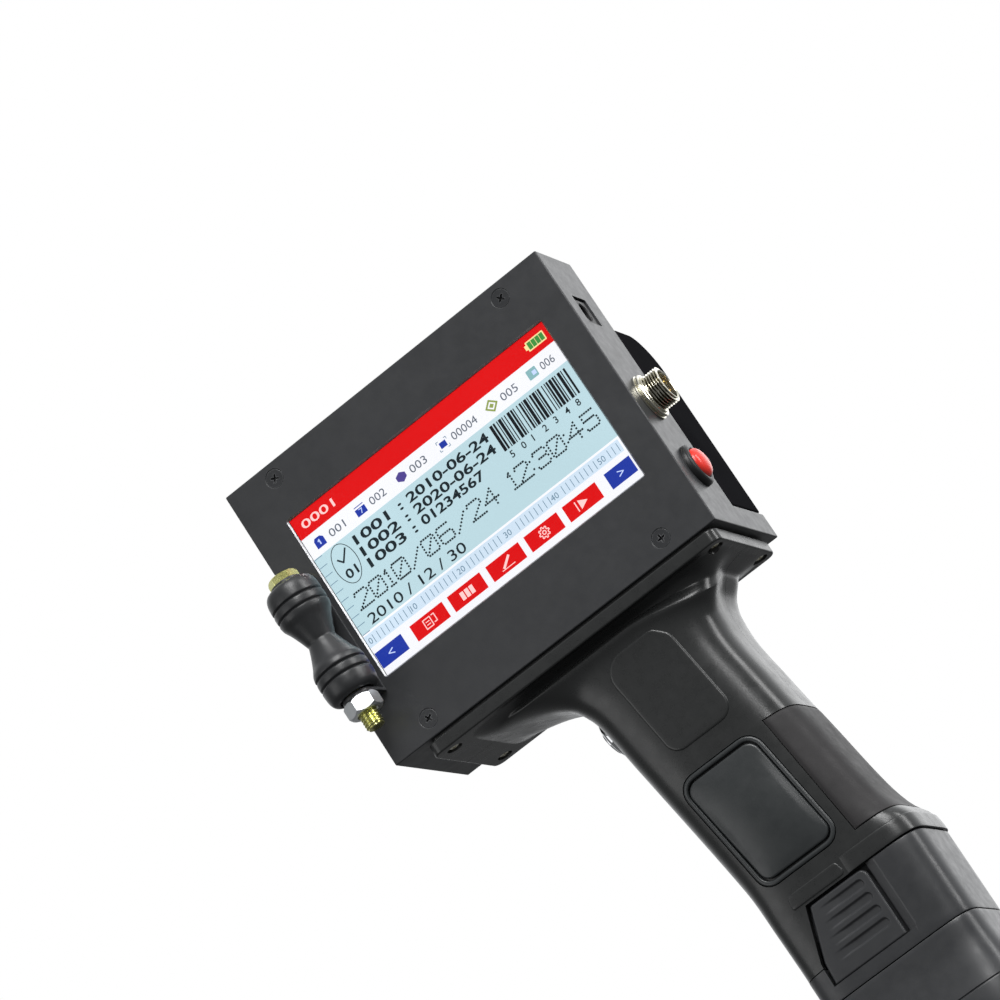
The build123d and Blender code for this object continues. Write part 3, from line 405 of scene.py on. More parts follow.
def lathe(profile, origin, axis, seg=72, closed=False):
    """Revolves (radius, height) points round the axis. Open profiles start and end on the axis."""
    a, u, v = frame_axes(axis)
    o = Vector(origin)
    verts, rings = [], []
    for r, h in profile:
        if r < 1e-6:
            rings.append([len(verts)])
            verts.append(o + a * h)
        else:
            rings.append(list(range(len(verts), len(verts) + seg)))
            for k in range(seg):
                t = 2 * math.pi * k / seg
                verts.append(o + a * h + (u * math.cos(t) + v * math.sin(t)) * r)
    faces = []
    pairs = list(zip(rings, rings[1:])) + ([(rings[-1], rings[0])] if closed else [])
    for p, q in pairs:
        if len(p) == 1 and len(q) == 1:
            continue
        for k in range(seg):
            k2 = (k + 1) % seg
            if len(p) == 1:
                faces.append((p[0], q[k], q[k2]))
            elif len(q) == 1:
                faces.append((p[k], q[0], p[k2]))
            else:
                faces.append((p[k], q[k], q[k2], p[k2]))
    return fix_normals(new_mesh("lathe", verts, faces))


def arc(cx, cy, r, a0, a1, n=6):
    return [(cx + r * math.cos(math.radians(a0 + (a1 - a0) * k / n)), cy + r * math.sin(math.radians(a0 + (a1 - a0) * k / n)))
            for k in range(n + 1)]


def rrect(w, h, r, n=5, cx=0.0, cy=0.0):
    """Rounded rectangle outline, anticlockwise."""
    r = min(r, w / 2 - 1e-3, h / 2 - 1e-3)
    out = []
    for sx, sy, a in ((1, 1, 0), (-1, 1, 90), (-1, -1, 180), (1, -1, 270)):
        out += arc(cx + sx * (w / 2 - r), cy + sy * (h / 2 - r), r, a, a + 90, n)
    return out


def round_poly(points, radii, n=5):
    """Rounds the corners of a polygon."""
    out = []
    m = len(points)
    for i, p in enumerate(points):
        a, b, c = Vector(points[i - 1]), Vector(p), Vector(points[(i + 1) % m])
        r = radii[i] if isinstance(radii, (list, tuple)) else radii
        d1, d2 = (a - b).normalized(), (c - b).normalized()
        ang = d1.angle(d2)
        if r < 1e-4 or abs(ang - math.pi) < 1e-3:
            out.append(tuple(b))
            continue
        t = min(r / math.tan(ang / 2), (a - b).length * 0.49, (c - b).length * 0.49)
        r = t * math.tan(ang / 2)
        s, e = b + d1 * t, b + d2 * t
        centre = b + (d1 + d2).normalized() * (r / math.sin(ang / 2))
        v0, v1 = s - centre, e - centre
        tot = v0.angle_signed(v1) if v0.length > 1e-9 else 0
        for k in range(n + 1):
            rot = Matrix.Rotation(-tot * k / n, 2)
            out.append(tuple(centre + rot @ v0))
    return out


def inset(outline, d):
    """Outline moved inwards by d (anticlockwise or clockwise)."""
    n = len(outline)
    area = sum(outline[i][0] * outline[(i + 1) % n][1] - outline[(i + 1) % n][0] * outline[i][1] for i in range(n))
    s = 1 if area > 0 else -1
    out = []
    for i in range(n):
        a, b, c = Vector(outline[i - 1]), Vector(outline[i]), Vector(outline[(i + 1) % n])
        e1, e2 = (b - a), (c - b)
        if e1.length < 1e-9 or e2.length < 1e-9:
            e1 = e2 = c - a
        n1 = Vector((-e1.y, e1.x)).normalized() * s
        n2 = Vector((-e2.y, e2.x)).normalized() * s
        k = (n1 + n2)
        k = k / max(k.length_squared, 1e-9) * 2
        out.append(tuple(b + k * d))
    return out


def shade(me, angle=32):
    for p in me.polygons:
        p.use_smooth = True
    me.set_sharp_from_angle(angle=math.radians(angle))


def piece(name, me, mat, body="printer_frame", stands=(), angle=32, weighted=True, mats=None):
    """Turns a mesh in head millimetres into a piece that rides on a body."""
    me = me.copy()
    me.name = name
    me.transform(Matrix.Translation(HEAD) @ Matrix.Scale(MM, 4))
    me.materials.clear()
    for mt in (mats or [mat]):
        me.materials.append(mt)
    shade(me, angle)
    ob = bpy.data.objects.new(name, me)
    SCENE.collection.objects.link(ob)
    if weighted:
        w = ob.modifiers.new("normals", "WEIGHTED_NORMAL")
        w.keep_sharp = True
        w.weight = 50
    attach(ob, body)
    if stands:
        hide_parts(*stands)
    return ob


def paint(node, mat):
    """Gives a CAD node that stays in view a node material."""
    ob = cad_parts[node]
    if not ob.material_slots:
        ob.data.materials.append(mat)
    for s in ob.material_slots:
        s.material = mat


def swept(path, radius, seg=10, closed=False):
    """Round bar along a list of points."""
    pts = [Vector(p) for p in path]
    n = len(pts)
    verts, faces = [], []
    up = None
    for i, p in enumerate(pts):
        a = pts[i - 1] if (i > 0 or closed) else p
        b = pts[(i + 1) % n] if (i < n - 1 or closed) else p
        t = (b - a).normalized()
        if up is None:
            up = t.orthogonal().normalized()
        up = (up - t * up.dot(t)).normalized()
        w = t.cross(up)
        r = radius(i / max(n - 1, 1)) if callable(radius) else radius
        for k in range(seg):
            q = 2 * math.pi * k / seg
            verts.append(p + (up * math.cos(q) + w * math.sin(q)) * r)
    for i in range(n if closed else n - 1):
        j = (i + 1) % n
        for k in range(seg):
            k2 = (k + 1) % seg
            faces.append((i * seg + k, i * seg + k2, j * seg + k2, j * seg + k))
    if not closed:
        faces.append(tuple(range(seg - 1, -1, -1)))
        faces.append(tuple((n - 1) * seg + k for k in range(seg)))
    return fix_normals(new_mesh("swept", verts, faces))


def cross_cutter(origin, axis, size, depth, width=0.62, rot=0.0):
    """Tapered cross recess: origin on the head's surface, axis pointing out of the head."""
    a, u, v = frame_axes(axis)
    o = Vector(origin)
    parts = []
    for k in range(2):
        c, s = math.cos(rot + k * math.pi / 2), math.sin(rot + k * math.pi / 2)
        d, e = u * c + v * s, v * c - u * s
        top = [o + a * 0.6 + d * (x * size) + e * (y * width) for x, y in ((-1, -1), (1, -1), (1, 1), (-1, 1))]
        low = [o - a * depth + d * (x * size * 0.35) + e * (y * width * 0.55) for x, y in ((-1, -1), (1, -1), (1, 1), (-1, 1))]
        me = new_mesh("slot", top + low, [(0, 1, 2, 3), (7, 6, 5, 4), (0, 4, 5, 1), (1, 5, 6, 2), (2, 6, 7, 3), (3, 7, 4, 0)])
        parts.append(fix_normals(me))
    return union(parts[0], parts[1])


def screw_head(origin, axis, r, height, kind="pan", length=6.0, shank=None, rot=0.4):
    """Cross-recessed screw. origin is the centre of the head's top face and axis points outwards."""
    shank = shank or r * 0.5
    if kind == "flat":
        prof = [(0, 0), (r * 0.94, 0), (r, -0.12), (r * 0.98, -0.3), (shank, -height), (shank, -length), (0, -length)]
    else:
        prof = [(0, 0), (r * 0.45, -0.04), (r * 0.75, -0.2), (r * 0.93, -0.5), (r, -0.9), (r, -height + 0.15), (r * 0.96, -height),
                (shank, -height), (shank, -length), (0, -length)]
    me = lathe(prof, origin, axis, 36)
    return cut(me, cross_cutter(origin, axis, r * 0.58, min(1.3, height * 0.9), r * 0.13, rot))


def text_mesh(body, size, spacing=1.0, bold=0.0):
    """Flat mesh of generic digits and marks, (x, y) in millimetres, lying on the baseline."""
    cu = bpy.data.curves.new("digits", "FONT")
    cu.body = body
    cu.size = size
    cu.space_character = spacing
    cu.resolution_u = 3
    cu.offset = bold
    ob = bpy.data.objects.new("tmp_text", cu)
    SCENE.collection.objects.link(ob)
    bpy.context.view_layer.update()
    dg = bpy.context.evaluated_depsgraph_get()
    me = bpy.data.meshes.new_from_object(ob.evaluated_get(dg), depsgraph=dg)
    bpy.data.objects.remove(ob)
    return me


# ------------------------------------------------------------------ head case
L = hi("front_shell").x            # head length
H = hi("front_shell").z            # head height
BACK = hi("front_shell").y         # depth at the ledge
BOX = 27.4                         # depth of the electronics box
WX0, WX1 = lo("touch_glass").x - 0.15, hi("touch_glass").x + 0.15
WZ0, WZ1 = lo("touch_glass").z - 0.15, hi("touch_glass").z + 0.15
WCX, WCZ = (WX0 + WX1) / 2, (WZ0 + WZ1) / 2
JX0, JX1 = lo("dc_jack"), hi("dc_jack")
CONN = mid("connector_pins")
BUTTON = mid("power_button_cap")
SCREWS = [(x, z) for x in (16.1, 103.2) for z in (5.4, 92.5)]


def flare(out_a, ya, out_b, yb):
    n = len(out_a)
    v = [(x, ya, z) for x, z in out_a] + [(x, yb, z) for x, z in out_b]
    f = [tuple(range(n)), tuple(range(2 * n - 1, n - 1, -1))] + [(i, (i + 1) % n, n + (i + 1) % n, n + i) for i in range(n)]
    return fix_normals(new_mesh("flare", v, f))


case = prism([(0, 0), (BACK, 0), (BACK, 8.4), (BOX, 8.4), (BOX, H), (0, H)], "x", 0, L)
case = bevel(case, 0.42, 3, 40)
win = rrect(WX1 - WX0, WZ1 - WZ0, 0.35, 3, WCX, WCZ)
case = cut(case,
           prism([(2, 1.8), (51.7, 1.8), (51.7, 12), (29.4, 12), (29.4, H - 1.8), (2, H - 1.8)], "x", 1.8, L - 1.8),
           prism(win, "y", -2, 4),
           flare(inset(win, -0.62), -0.2, win, 0.5),
           join(*[lathe([(0, -0.4), (3.45, -0.4), (3.05, 0.0), (1.6, 1.45), (1.6, 4), (0, 4)], (x, 0, z), "y", 40) for x, z in SCREWS]),
           bevel(box(L - 4, L + 1, 7.0, 17.5, 72.3, 82.1), 0.35, 2, 40, lambda e: abs(e.verts[0].co.x - e.verts[1].co.x) > 1),
           lathe([(0, -4), (5.95, -4), (5.95, -0.25), (6.2, 0.0), (6.4, 0.2), (0, 0.2)], (L, CONN.y, CONN.z), "x", 48),
           lathe([(0, -4), (5.95, -4), (5.95, 1), (0, 1)], (L, BUTTON.y, BUTTON.z), "x", 48))
case_ob = piece("head_case", case, None, stands=("front_shell",), mats=[M["shell"], M["bare"]])
for poly in case_ob.data.polygons:
    c = (case_ob.data.vertices[poly.vertices[0]].co * 0)
    for vi in poly.vertices:
        c += case_ob.data.vertices[vi].co
    c = (c / len(poly.vertices) - HEAD) / MM
    n = poly.normal
    if 0.0 < c.y < 0.72 and WX0 - 0.9 < c.x < WX1 + 0.9 and WZ0 - 0.9 < c.z < WZ1 + 0.9 and 0.3 < -n.y < 0.95:
        poly.material_index = 1

paint("rear_chassis", M["chassis"])
heads = join(*[screw_head((x, 0.12, z), (0, -1, 0), 2.85, 1.4, "flat", 11.8, 1.45, 0.5 + 0.6 * k) for k, (x, z) in enumerate(SCREWS)])
piece("front_screw_set", heads, M["screw"], stands=("front_screws",))


# -------------------------------------------------------------------- display
INK = lit("mat_ui_ink", rgb(22, 34, 40))
UI = {"white": (lit("mat_ui_white", rgb(240, 241, 246), 0.02), 0.95, 1.02), "canvas": (lit("mat_ui_canvas", rgb(184, 212, 220)), 0.90, 0.96),
      "ruler": (lit("mat_ui_ruler", rgb(204, 222, 238)), 0.86, 0.92),
      "red": (lit("mat_ui_red", rgb(216, 4, 8)), 0.90, 0.96), "blue": (lit("mat_ui_blue", rgb(30, 54, 158)), 0.90, 0.96),
      "ink": (INK, 0.84, 0.885), "grey": (lit("mat_ui_grey", rgb(96, 104, 116)), 0.84, 0.885),
      "tick": (lit("mat_ui_tick", rgb(104, 134, 156)), 0.825, 0.855), "mark": (lit("mat_ui_mark", rgb(255, 206, 204), 0.02), 0.84, 0.885),
      "pale": (lit("mat_ui_pale", rgb(196, 214, 255), 0.02), 0.84, 0.885), "green": (lit("mat_ui_green", rgb(62, 142, 62)), 0.80, 0.835),
      "cream": (lit("mat_ui_cream", rgb(246, 224, 158), 0.02), 0.84, 0.885), "purple": (lit("mat_ui_purple", rgb(78, 66, 140)), 0.84, 0.885),
      "olive": (lit("mat_ui_olive", rgb(142, 158, 84)), 0.84, 0.885), "teal": (lit("mat_ui_teal", rgb(134, 178, 182)), 0.84, 0.885),
      "night": (lit("mat_ui_bars", rgb(14, 18, 24)), 0.84, 0.885)}
ui_parts = {k: [] for k in UI}


def ui_poly(layer, outline):
    ui_parts[layer].append(prism(outline, "y", UI[layer][1], UI[layer][2]))


def ui_box(layer, x0, x1, z0, z1, r=0.0):
    if r:
        ui_poly(layer, rrect(x1 - x0, z1 - z0, r, 3, (x0 + x1) / 2, (z0 + z1) / 2))
    else:
        ui_poly(layer, [(x0, z0), (x1, z0), (x1, z1), (x0, z1)])


def ui_line(layer, pts, w):
    for a, b in zip(pts, pts[1:]):
        a, b = Vector(a), Vector(b)
        t = (b - a).normalized() * (w / 2)
        n = Vector((-t.y, t.x))
        a, b = a - t * 0.6, b + t * 0.6
        ui_poly(layer, [tuple(a - n), tuple(b - n), tuple(b + n), tuple(a + n)])


def ui_digits(layer, body, x, z, height, width=None, bold=0.0, spacing=1.0):
    me = text_mesh(body, 1.0, spacing, bold)
    if not me.vertices:
        return
    xs = [v.co.x for v in me.vertices]
    ys = [v.co.y for v in me.vertices]
    ky = height / (max(ys) - min(ys))
    kx = width / (max(xs) - min(xs)) if width else ky
    y0, y1 = UI[layer][1], UI[layer][2]
    bm = bmesh.new()
    bm.from_mesh(me)
    bmesh.ops.remove_doubles(bm, verts=bm.verts, dist=0.0002)
    for v in bm.verts:
        v.co = Vector((x + (v.co.x - min(xs)) * kx, y0, z + (v.co.y - min(ys)) * ky))
    ret = bmesh.ops.extrude_face_region(bm, geom=list(bm.faces))
    for g in ret["geom"]:
        if isinstance(g, bmesh.types.BMVert):
            g.co.y = y1
    bmesh.ops.recalc_face_normals(bm, faces=bm.faces)
    out = bpy.data.meshes.new("digits")
    bm.to_mesh(out)
    bm.free()
    ui_parts[layer].append(out)


DOTS = {
    "0": [[(0.12, 1), (0.88, 1)], [(1, 0.88), (1, 0.12)], [(0.88, 0), (0.12, 0)], [(0, 0.12), (0, 0.88)], [(0.2, 0.2), (0.8, 0.8)]],
    "1": [[(0.5, 0), (0.5, 1)], [(0.28, 0.84), (0.4, 0.93)], [(0.25, 0), (0.75, 0)]],
    "2": [[(0.08, 0.86), (0.16, 1), (0.86, 1), (1, 0.86), (1, 0.7), (0, 0), (1, 0)]],
    "3": [[(0.08, 0.88), (0.16, 1), (0.86, 1)], [(1, 0.88), (1, 0.64)], [(0.86, 0.52), (0.36, 0.52)], [(1, 0.4), (1, 0.12)], [(0.86, 0), (0.14, 0), (0.06, 0.12)]],
    "4": [[(0.72, 0), (0.72, 1), (0, 0.34), (1, 0.34)]],
    "5": [[(0.94, 1), (0.06, 1), (0.06, 0.58), (0.84, 0.58)], [(1, 0.46), (1, 0.12)], [(0.86, 0), (0.12, 0), (0.04, 0.1)]],
    "6": [[(0.9, 1), (0.14, 1)], [(0, 0.88), (0, 0.12)], [(0.14, 0), (0.86, 0)], [(1, 0.12), (1, 0.42)], [(0.86, 0.54), (0.14, 0.54)]],
    "7": [[(0.02, 1), (1, 1), (1, 0.82), (0.3, 0)]],
    "8": [[(0.14, 1), (0.86, 1)], [(1, 0.88), (1, 0.62)], [(0, 0.88), (0, 0.62)], [(0.14, 0.52), (0.86, 0.52)], [(1, 0.4), (1, 0.12)], [(0, 0.4), (0, 0.12)], [(0.14, 0), (0.86, 0)]],
    "/": [[(0.0, 0.0), (1, 0.86)]],
    ":": [[(0.5, 0.74), (0.5, 0.74)], [(0.5, 0.24), (0.5, 0.24)]],
}


def ui_dotted(ch, x, z, w, h):
    for line in DOTS[ch]:
        for a, b in zip(line, line[1:]):
            p, q = Vector((x + a[0] * w, z + a[1] * h)), Vector((x + b[0] * w, z + b[1] * h))
            d = (q - p).length
            flat = abs(q.y - p.y) < 0.2 and d > 0.2
            n = max(1, round(d / (0.78 if flat else 0.98)))
            for k in range(n + 1):
                c = p + (q - p) * (k / n)
                ui_box("ink", c.x - (0.33 if flat else 0.29), c.x + (0.33 if flat else 0.29), c.y - 0.29, c.y + 0.29)


WL, WR, WB, WT = WX0 + 0.1, WX1 - 0.1, WZ0 + 0.1, WZ1 - 0.1
ui_box("white", WL, WR, WB, WT)
ui_box("red", WL, WR, 72.35, WT)
ui_digits("mark", "0001", 15.0, 74.4, 2.7, 12.2, 0.01)
ui_box("cream", 101.4, 107.9, 74.2, 77.3, 0.25)
ui_box("cream", 100.7, 101.5, 75.0, 76.5)
for k in range(4):
    ui_box("green", 101.85 + 1.46 * k, 103.15 + 1.46 * k, 74.6, 76.9)
ui_box("canvas", WL, WR, 37.75, 65.15)
# toolbar symbols: sheet, calendar, counter, matrix code, picture, list
ui_poly("blue", [(15.4, 67.0), (18.8, 67.0), (18.8, 69.5), (17.9, 70.3), (16.0, 70.3), (15.4, 69.5)])
ui_line("pale", [(17.1, 67.9), (17.1, 69.3)], 0.4)
ui_line("pale", [(16.6, 68.9), (17.1, 69.4)], 0.3)
ui_box("blue", 31.0, 34.6, 67.0, 69.3)
ui_line("blue", [(31.2, 70.0), (34.4, 70.0)], 0.25)
ui_line("pale", [(32.3, 68.9), (33.3, 68.9), (32.7, 67.5)], 0.25)
ui_poly("purple", [(46.9, 68.0), (48.6, 67.0), (50.3, 68.0), (50.3, 69.4), (48.6, 70.3), (46.9, 69.4)])
ui_box("blue", 63.4, 65.7, 67.6, 69.5)
for sx in (-1, 1):
    for sz in (-1, 1):
        cx, cz = 64.55 + sx * 1.8, 68.55 + sz * 1.6
        ui_line("tick", [(cx - sx * 0.7, cz), (cx, cz), (cx, cz - sz * 0.7)], 0.2)
for r_out, r_in in ((1.95, 1.35), (0.85, 0.0)):
    pts = [(83.0 + r_out, 68.6), (83.0, 68.6 + r_out * 0.9), (83.0 - r_out, 68.6), (83.0, 68.6 - r_out * 0.9)]
    if r_in:
        ui_line("olive", pts + [pts[0]], 0.55)
    else:
        ui_poly("olive", pts)
ui_box("teal", 96.8, 100.2, 67.1, 70.2, 0.3)
ui_box("white", 98.6, 99.6, 68.0, 69.2)
ui_parts["pale"].append(prism([(98.5, 67.9), (99.8, 67.9), (99.8, 69.2), (98.5, 69.2)], "y", 0.80, 0.835))
for k, (x, w) in enumerate(((20.8, 5.8), (36.4, 5.8), (51.9, 6.0), (67.9, 9.2), (86.6, 5.9), (101.6, 4.8))):
    ui_digits("grey", ("001", "002", "003", "00004", "005", "006")[k], x, 67.3, 2.5, w)
# left scale
for k in range(10):
    ui_line("tick", [(12.6, 65.0 - 3.03 * k - 0.1), (15.3, 65.0 - 3.03 * k - 0.1)], 0.2)
# round stamp with a tick mark
oval = [(20.3 + 3.95 * math.cos(2 * math.pi * k / 40), 58.25 + 6.5 * math.sin(2 * math.pi * k / 40)) for k in range(41)]
ui_line("ink", oval, 0.22)
ui_line("ink", [(18.5, 60.6), (19.8, 59.0), (22.4, 62.3)], 0.55)
ui_digits("ink", "01", 18.3, 53.7, 3.0, 4.2, 0.02)
for z, label, value, w in ((60.55, "1001 :", "2010-06-24", 30.6), (56.4, "1002 :", "2020-06-24", 30.6), (52.3, "1003 :", "01234567", 23.4)):
    ui_digits("ink", label, 26.0, z, 3.15, 18.2, 0.022)
    ui_digits("ink", value, 46.4, z, 3.15, w, 0.022)
# barcode
widths = [3, 1, 2, 2, 1, 1, 3, 1, 1, 2, 1, 2, 3, 1, 2, 1, 1, 3, 1, 2, 2, 1, 1, 1, 3, 1, 1, 2, 2, 1, 3, 1, 1, 1, 2, 3, 1, 2, 1, 1, 2, 1, 3, 1, 2, 1, 1, 2, 3, 1, 1, 2, 2]
unit = 28.4 / sum(widths)
pos = 78.8
for k, w in enumerate(widths):
    if k % 2 == 0:
        ui_box("night", pos, pos + unit * w, 55.0, 63.9)
    pos += unit * w
for ch, x in zip("5012348", (79.7, 83.9, 87.9, 92.0, 96.1, 100.2, 104.3)):
    ui_digits("ink", ch, x, 52.0, 2.2, None, 0.01)
# dotted date and time
for ch, x, w in (("2", 16.5, 4.8), ("0", 22.4, 4.5), ("1", 27.4, 3.2), ("0", 31.1, 4.7), ("/", 36.8, 4.3), ("0", 42.4, 4.5), ("6", 48.2, 4.6), ("/", 54.0, 4.5),
                 ("2", 59.5, 4.9), ("4", 65.2, 4.8), ("1", 74.4, 3.2), ("2", 77.6, 4.6), (":", 82.9, 0.6), ("3", 84.4, 4.7), ("0", 90.2, 4.6), (":", 95.7, 0.6),
                 ("4", 96.9, 4.7), ("5", 102.7, 4.6)):
    ui_dotted(ch, x, 44.1, w, 5.2)
ui_digits("ink", "2010 / 12 / 30", 16.8, 38.5, 3.35, 36.6, 0.004)
# ruler strip
ui_box("white", WL, WR, 33.0, 37.75)
ui_box("ruler", WL, WR - 0.7, 33.1, 37.05)
for n, x in (("0", 13.2), ("10", 29.3), ("20", 47.1), ("30", 64.8), ("40", 82.4), ("50", 100.0)):
    ui_digits("tick", n, x, 34.0, 1.9)
for k in range(55):
    x = 15.0 + 1.71 * k
    if any(a - 0.6 < x < a + 3.4 for a in (29.3, 47.1, 64.8, 82.4, 100.0)) or x > 107.6:
        continue
    ui_box("tick", x, x + 0.2, 33.6, 36.3)
# bottom buttons
ui_box("blue", 12.5, 22.5, 25.8, 31.1)
ui_box("blue", 99.3, WR - 0.6, 25.8, 31.1)
ui_line("pale", [(18.2, 29.3), (16.4, 28.5), (18.2, 27.7)], 0.3)
ui_line("pale", [(103.1, 29.3), (104.9, 28.5), (103.1, 27.7)], 0.3)
RED_X = (25.9, 40.2, 54.8, 69.2, 83.6)
for x in RED_X:
    ui_box("red", x, x + 12.3, 25.75, 31.1)
cz = 28.4
x = RED_X[0] + 6.15     # sheets
ui_line("mark", [(x - 1.9, cz - 1.4), (x + 0.6, cz - 1.4), (x + 0.6, cz + 1.5), (x - 1.9, cz + 1.5), (x - 1.9, cz - 1.4)], 0.3)
ui_line("mark", [(x - 1.2, cz + 0.5), (x, cz + 0.5)], 0.25)
ui_line("mark", [(x - 1.2, cz - 0.4), (x, cz - 0.4)], 0.25)
ui_line("mark", [(x + 1.3, cz - 0.9), (x + 2.2, cz - 0.9), (x + 2.2, cz + 1.5), (x + 1.3, cz + 1.5)], 0.3)
x = RED_X[1] + 6.15     # segments
for k in range(3):
    ui_box("mark", x - 2.4 + 1.7 * k, x - 1.1 + 1.7 * k, cz - 1.3, cz + 1.3)
x = RED_X[2] + 6.15     # pencil
ui_line("mark", [(x - 1.4, cz - 1.1), (x + 1.6, cz + 1.3)], 0.75)
ui_line("mark", [(x - 2.3, cz - 1.6), (x + 2.3, cz - 1.6)], 0.25)
x = RED_X[3] + 6.15     # gear
gear = []
for k in range(32):
    rr = 1.75 if (k // 2) % 2 == 0 else 1.25
    gear.append((x + rr * math.cos(2 * math.pi * k / 32), cz + rr * math.sin(2 * math.pi * k / 32)))
ui_line("mark", gear + [gear[0]], 0.3)
ui_line("mark", [(x + 0.55 * math.cos(2 * math.pi * k / 12), cz + 0.55 * math.sin(2 * math.pi * k / 12)) for k in range(13)], 0.3)
x = RED_X[4] + 6.15     # start mark
ui_poly("mark", [(x - 1.2, cz - 1.5), (x + 1.7, cz), (x - 1.2, cz + 1.5)])
ui_line("mark", [(x - 2.2, cz - 1.5), (x - 2.2, cz + 1.5)], 0.35)

panel = rbox(WX0 + 0.05, WX1 - 0.05, 1.0, 2.1, WZ0 + 0.05, WZ1 - 0.05, 0.15)
piece("touch_panel", panel, M["parts"], stands=("touch_glass",))
for k, parts in ui_parts.items():
    if parts:
        piece("screen_" + k, join(*parts), UI[k][0], weighted=False)

glass = Mat("mat_screen_film")
tr = glass.node("ShaderNodeBsdfTransparent")
gl = glass.node("ShaderNodeBsdfGlossy")
mx = glass.node("ShaderNodeMixShader")
fr = glass.node("ShaderNodeFresnel")
fr.inputs["IOR"].default_value = 1.32
glass.link(glass.maprange(glass.noise(90, 3, 0.5), 0.3, 0.7, 0.12, 0.2), gl.inputs["Roughness"])
k = glass.node("ShaderNodeMath", operation="MULTIPLY")
k.inputs[1].default_value = 0.35
glass.link(fr.outputs["Fac"], k.inputs[0])
glass.link(k.outputs[0], mx.inputs[0])
glass.link(tr.outputs[0], mx.inputs[1])
glass.link(gl.outputs[0], mx.inputs[2])
glass.link(mx.outputs[0], glass.t.nodes["Material Output"].inputs["Surface"])
film = bevel(prism(rrect(WX1 - WX0 - 0.3, WZ1 - WZ0 - 0.3, 1.0, 4, WCX, WCZ), "y", 0.7, 0.78), 0.02, 1, 50)
film_ob = piece("touch_film", film, glass.m, weighted=False)
film_ob.visible_shadow = False
for n in ("lcd_module", "board_components", "connector_lock_nut", "trigger_switch", "terminal_block"):
    paint(n, M["parts"])
for n in ("main_board", "contact_board", "battery_board"):
    paint(n, M["pcb"])
for n in ("board_standoffs", "power_button_spring", "trigger_spring", "hinge_pins", "latch_pin", "encoder_bracket", "encoder_shaft"):
    paint(n, M["steel"])
for n in ("terminal_springs", "battery_contacts", "nozzle_plate"):
    paint(n, M["gold"])
paint("power_cable", M["cable"])
paint("battery_cells", M["wrap"])
for n in ("cartridge_cradle", "cartridge_latch"):
    paint(n, M["black"])


# ------------------------------------------------------------ end wall fittings
jack = rbox(JX0.x, JX1.x, JX0.y, JX1.y, JX0.z, JX1.z, 0.25)
JC = (11.8, 76.9)
jack = cut(jack, lathe([(0, -10), (3.05, -10), (3.05, -0.35), (3.4, 0.0), (3.6, 0.2), (0, 0.2)], (JX1.x, *JC), "x", 48))
jack = union(jack, lathe([(0, -9.6), (0.9, -9.6), (0.95, -2.4), (0.6, -1.6), (0.25, -1.4), (0, -1.4)], (JX1.x, *JC), "x", 20))
piece("charge_jack_body", jack, M["black"], stands=("dc_jack",))


def threaded(origin, axis, major, minor, pitch, h0, h1, seg=64, per=10, lead=0.8, bore=None, bore_depth=0.0):
    """Round bar with a real helical thread from h0 to h1, solid unless a bore is given."""
    a, u, v = frame_axes(axis)
    o = Vector(origin)
    rows = int((h1 - h0) / pitch * per) + 1
    verts, faces, grid = [], [], []
    for i in range(rows):
        h = h0 + (h1 - h0) * i / (rows - 1)
        ring = []
        for k in range(seg):
            ph = (h / pitch - k / seg) % 1.0
            w = 0.5 + 0.5 * math.cos(2 * math.pi * ph)
            w = w * w * (3 - 2 * w)
            fade = min(1.0, (h - h0) / lead, (h1 - h) / lead)
            r = minor + (major - minor) * w * max(fade, 0.0)
            if fade < 0.35:
                r = min(r, minor + (major - minor) * 0.2)
            t = 2 * math.pi * k / seg
            ring.append(len(verts))
            verts.append(o + a * h + (u * math.cos(t) + v * math.sin(t)) * r)
        grid.append(ring)
    for p, q in zip(grid, grid[1:]):
        for k in range(seg):
            k2 = (k + 1) % seg
            faces.append((p[k], q[k], q[k2], p[k2]))
    faces.append(tuple(reversed(grid[0])))
    if bore:
        prof = [(bore + 0.35, h1), (bore, h1 - 0.35), (bore, h1 - bore_depth)]
        prev = grid[-1]
        for r, h in prof:
            ring = []
            for k in range(seg):
                t = 2 * math.pi * k / seg
                ring.append(len(verts))
                verts.append(o + a * h + (u * math.cos(t) + v * math.sin(t)) * r)
            for k in range(seg):
                k2 = (k + 1) % seg
                faces.append((prev[k], ring[k], ring[k2], prev[k2]))
            prev = ring
        faces.append(tuple(prev))
    else:
        faces.append(tuple(grid[-1]))
    return fix_normals(new_mesh("thread", verts, faces))


def hexagon(across_corners_r, rot=0.0):
    return [(across_corners_r * math.cos(math.radians(60 * k + rot)), across_corners_r * math.sin(math.radians(60 * k + rot))) for k in range(6)]


C0 = (L, CONN.y, CONN.z)
hexo = [(CONN.y + p, CONN.z + q) for p, q in hexagon(7.8)]
base = lathe([(0, 0), (7.45, 0.0), (7.55, 0.15), (7.55, 0.6), (7.25, 0.75), (6.9, 0.8), (6.9, 0.95), (7.2, 1.05), (7.3, 1.2), (7.3, 1.65), (7.05, 1.9), (0, 1.9)], C0, "x", 96)
collar = lathe([(0, 1.5), (6.3, 1.5), (6.4, 1.7), (6.4, 2.25), (6.25, 2.4), (0, 2.4)], C0, "x", 72)
TIP = hi("connector_shell").x - L
barrel = threaded(C0, "x", 6.0, 5.05, 0.86, 2.3, TIP, 96, 12, 0.3, 4.6, TIP - 3.2)
flat_n = Vector((0, -0.95, -0.31)).normalized()
flat_o = Vector(C0) + flat_n * 5.62
fu = Vector((0, 0.31, -0.95)).normalized()
fv = [flat_o + fu * a + Vector((1, 0, 0)) * b + flat_n * c for a in (-1.8, 1.8) for b in (2.3, TIP + 0.4) for c in (0, 3)]
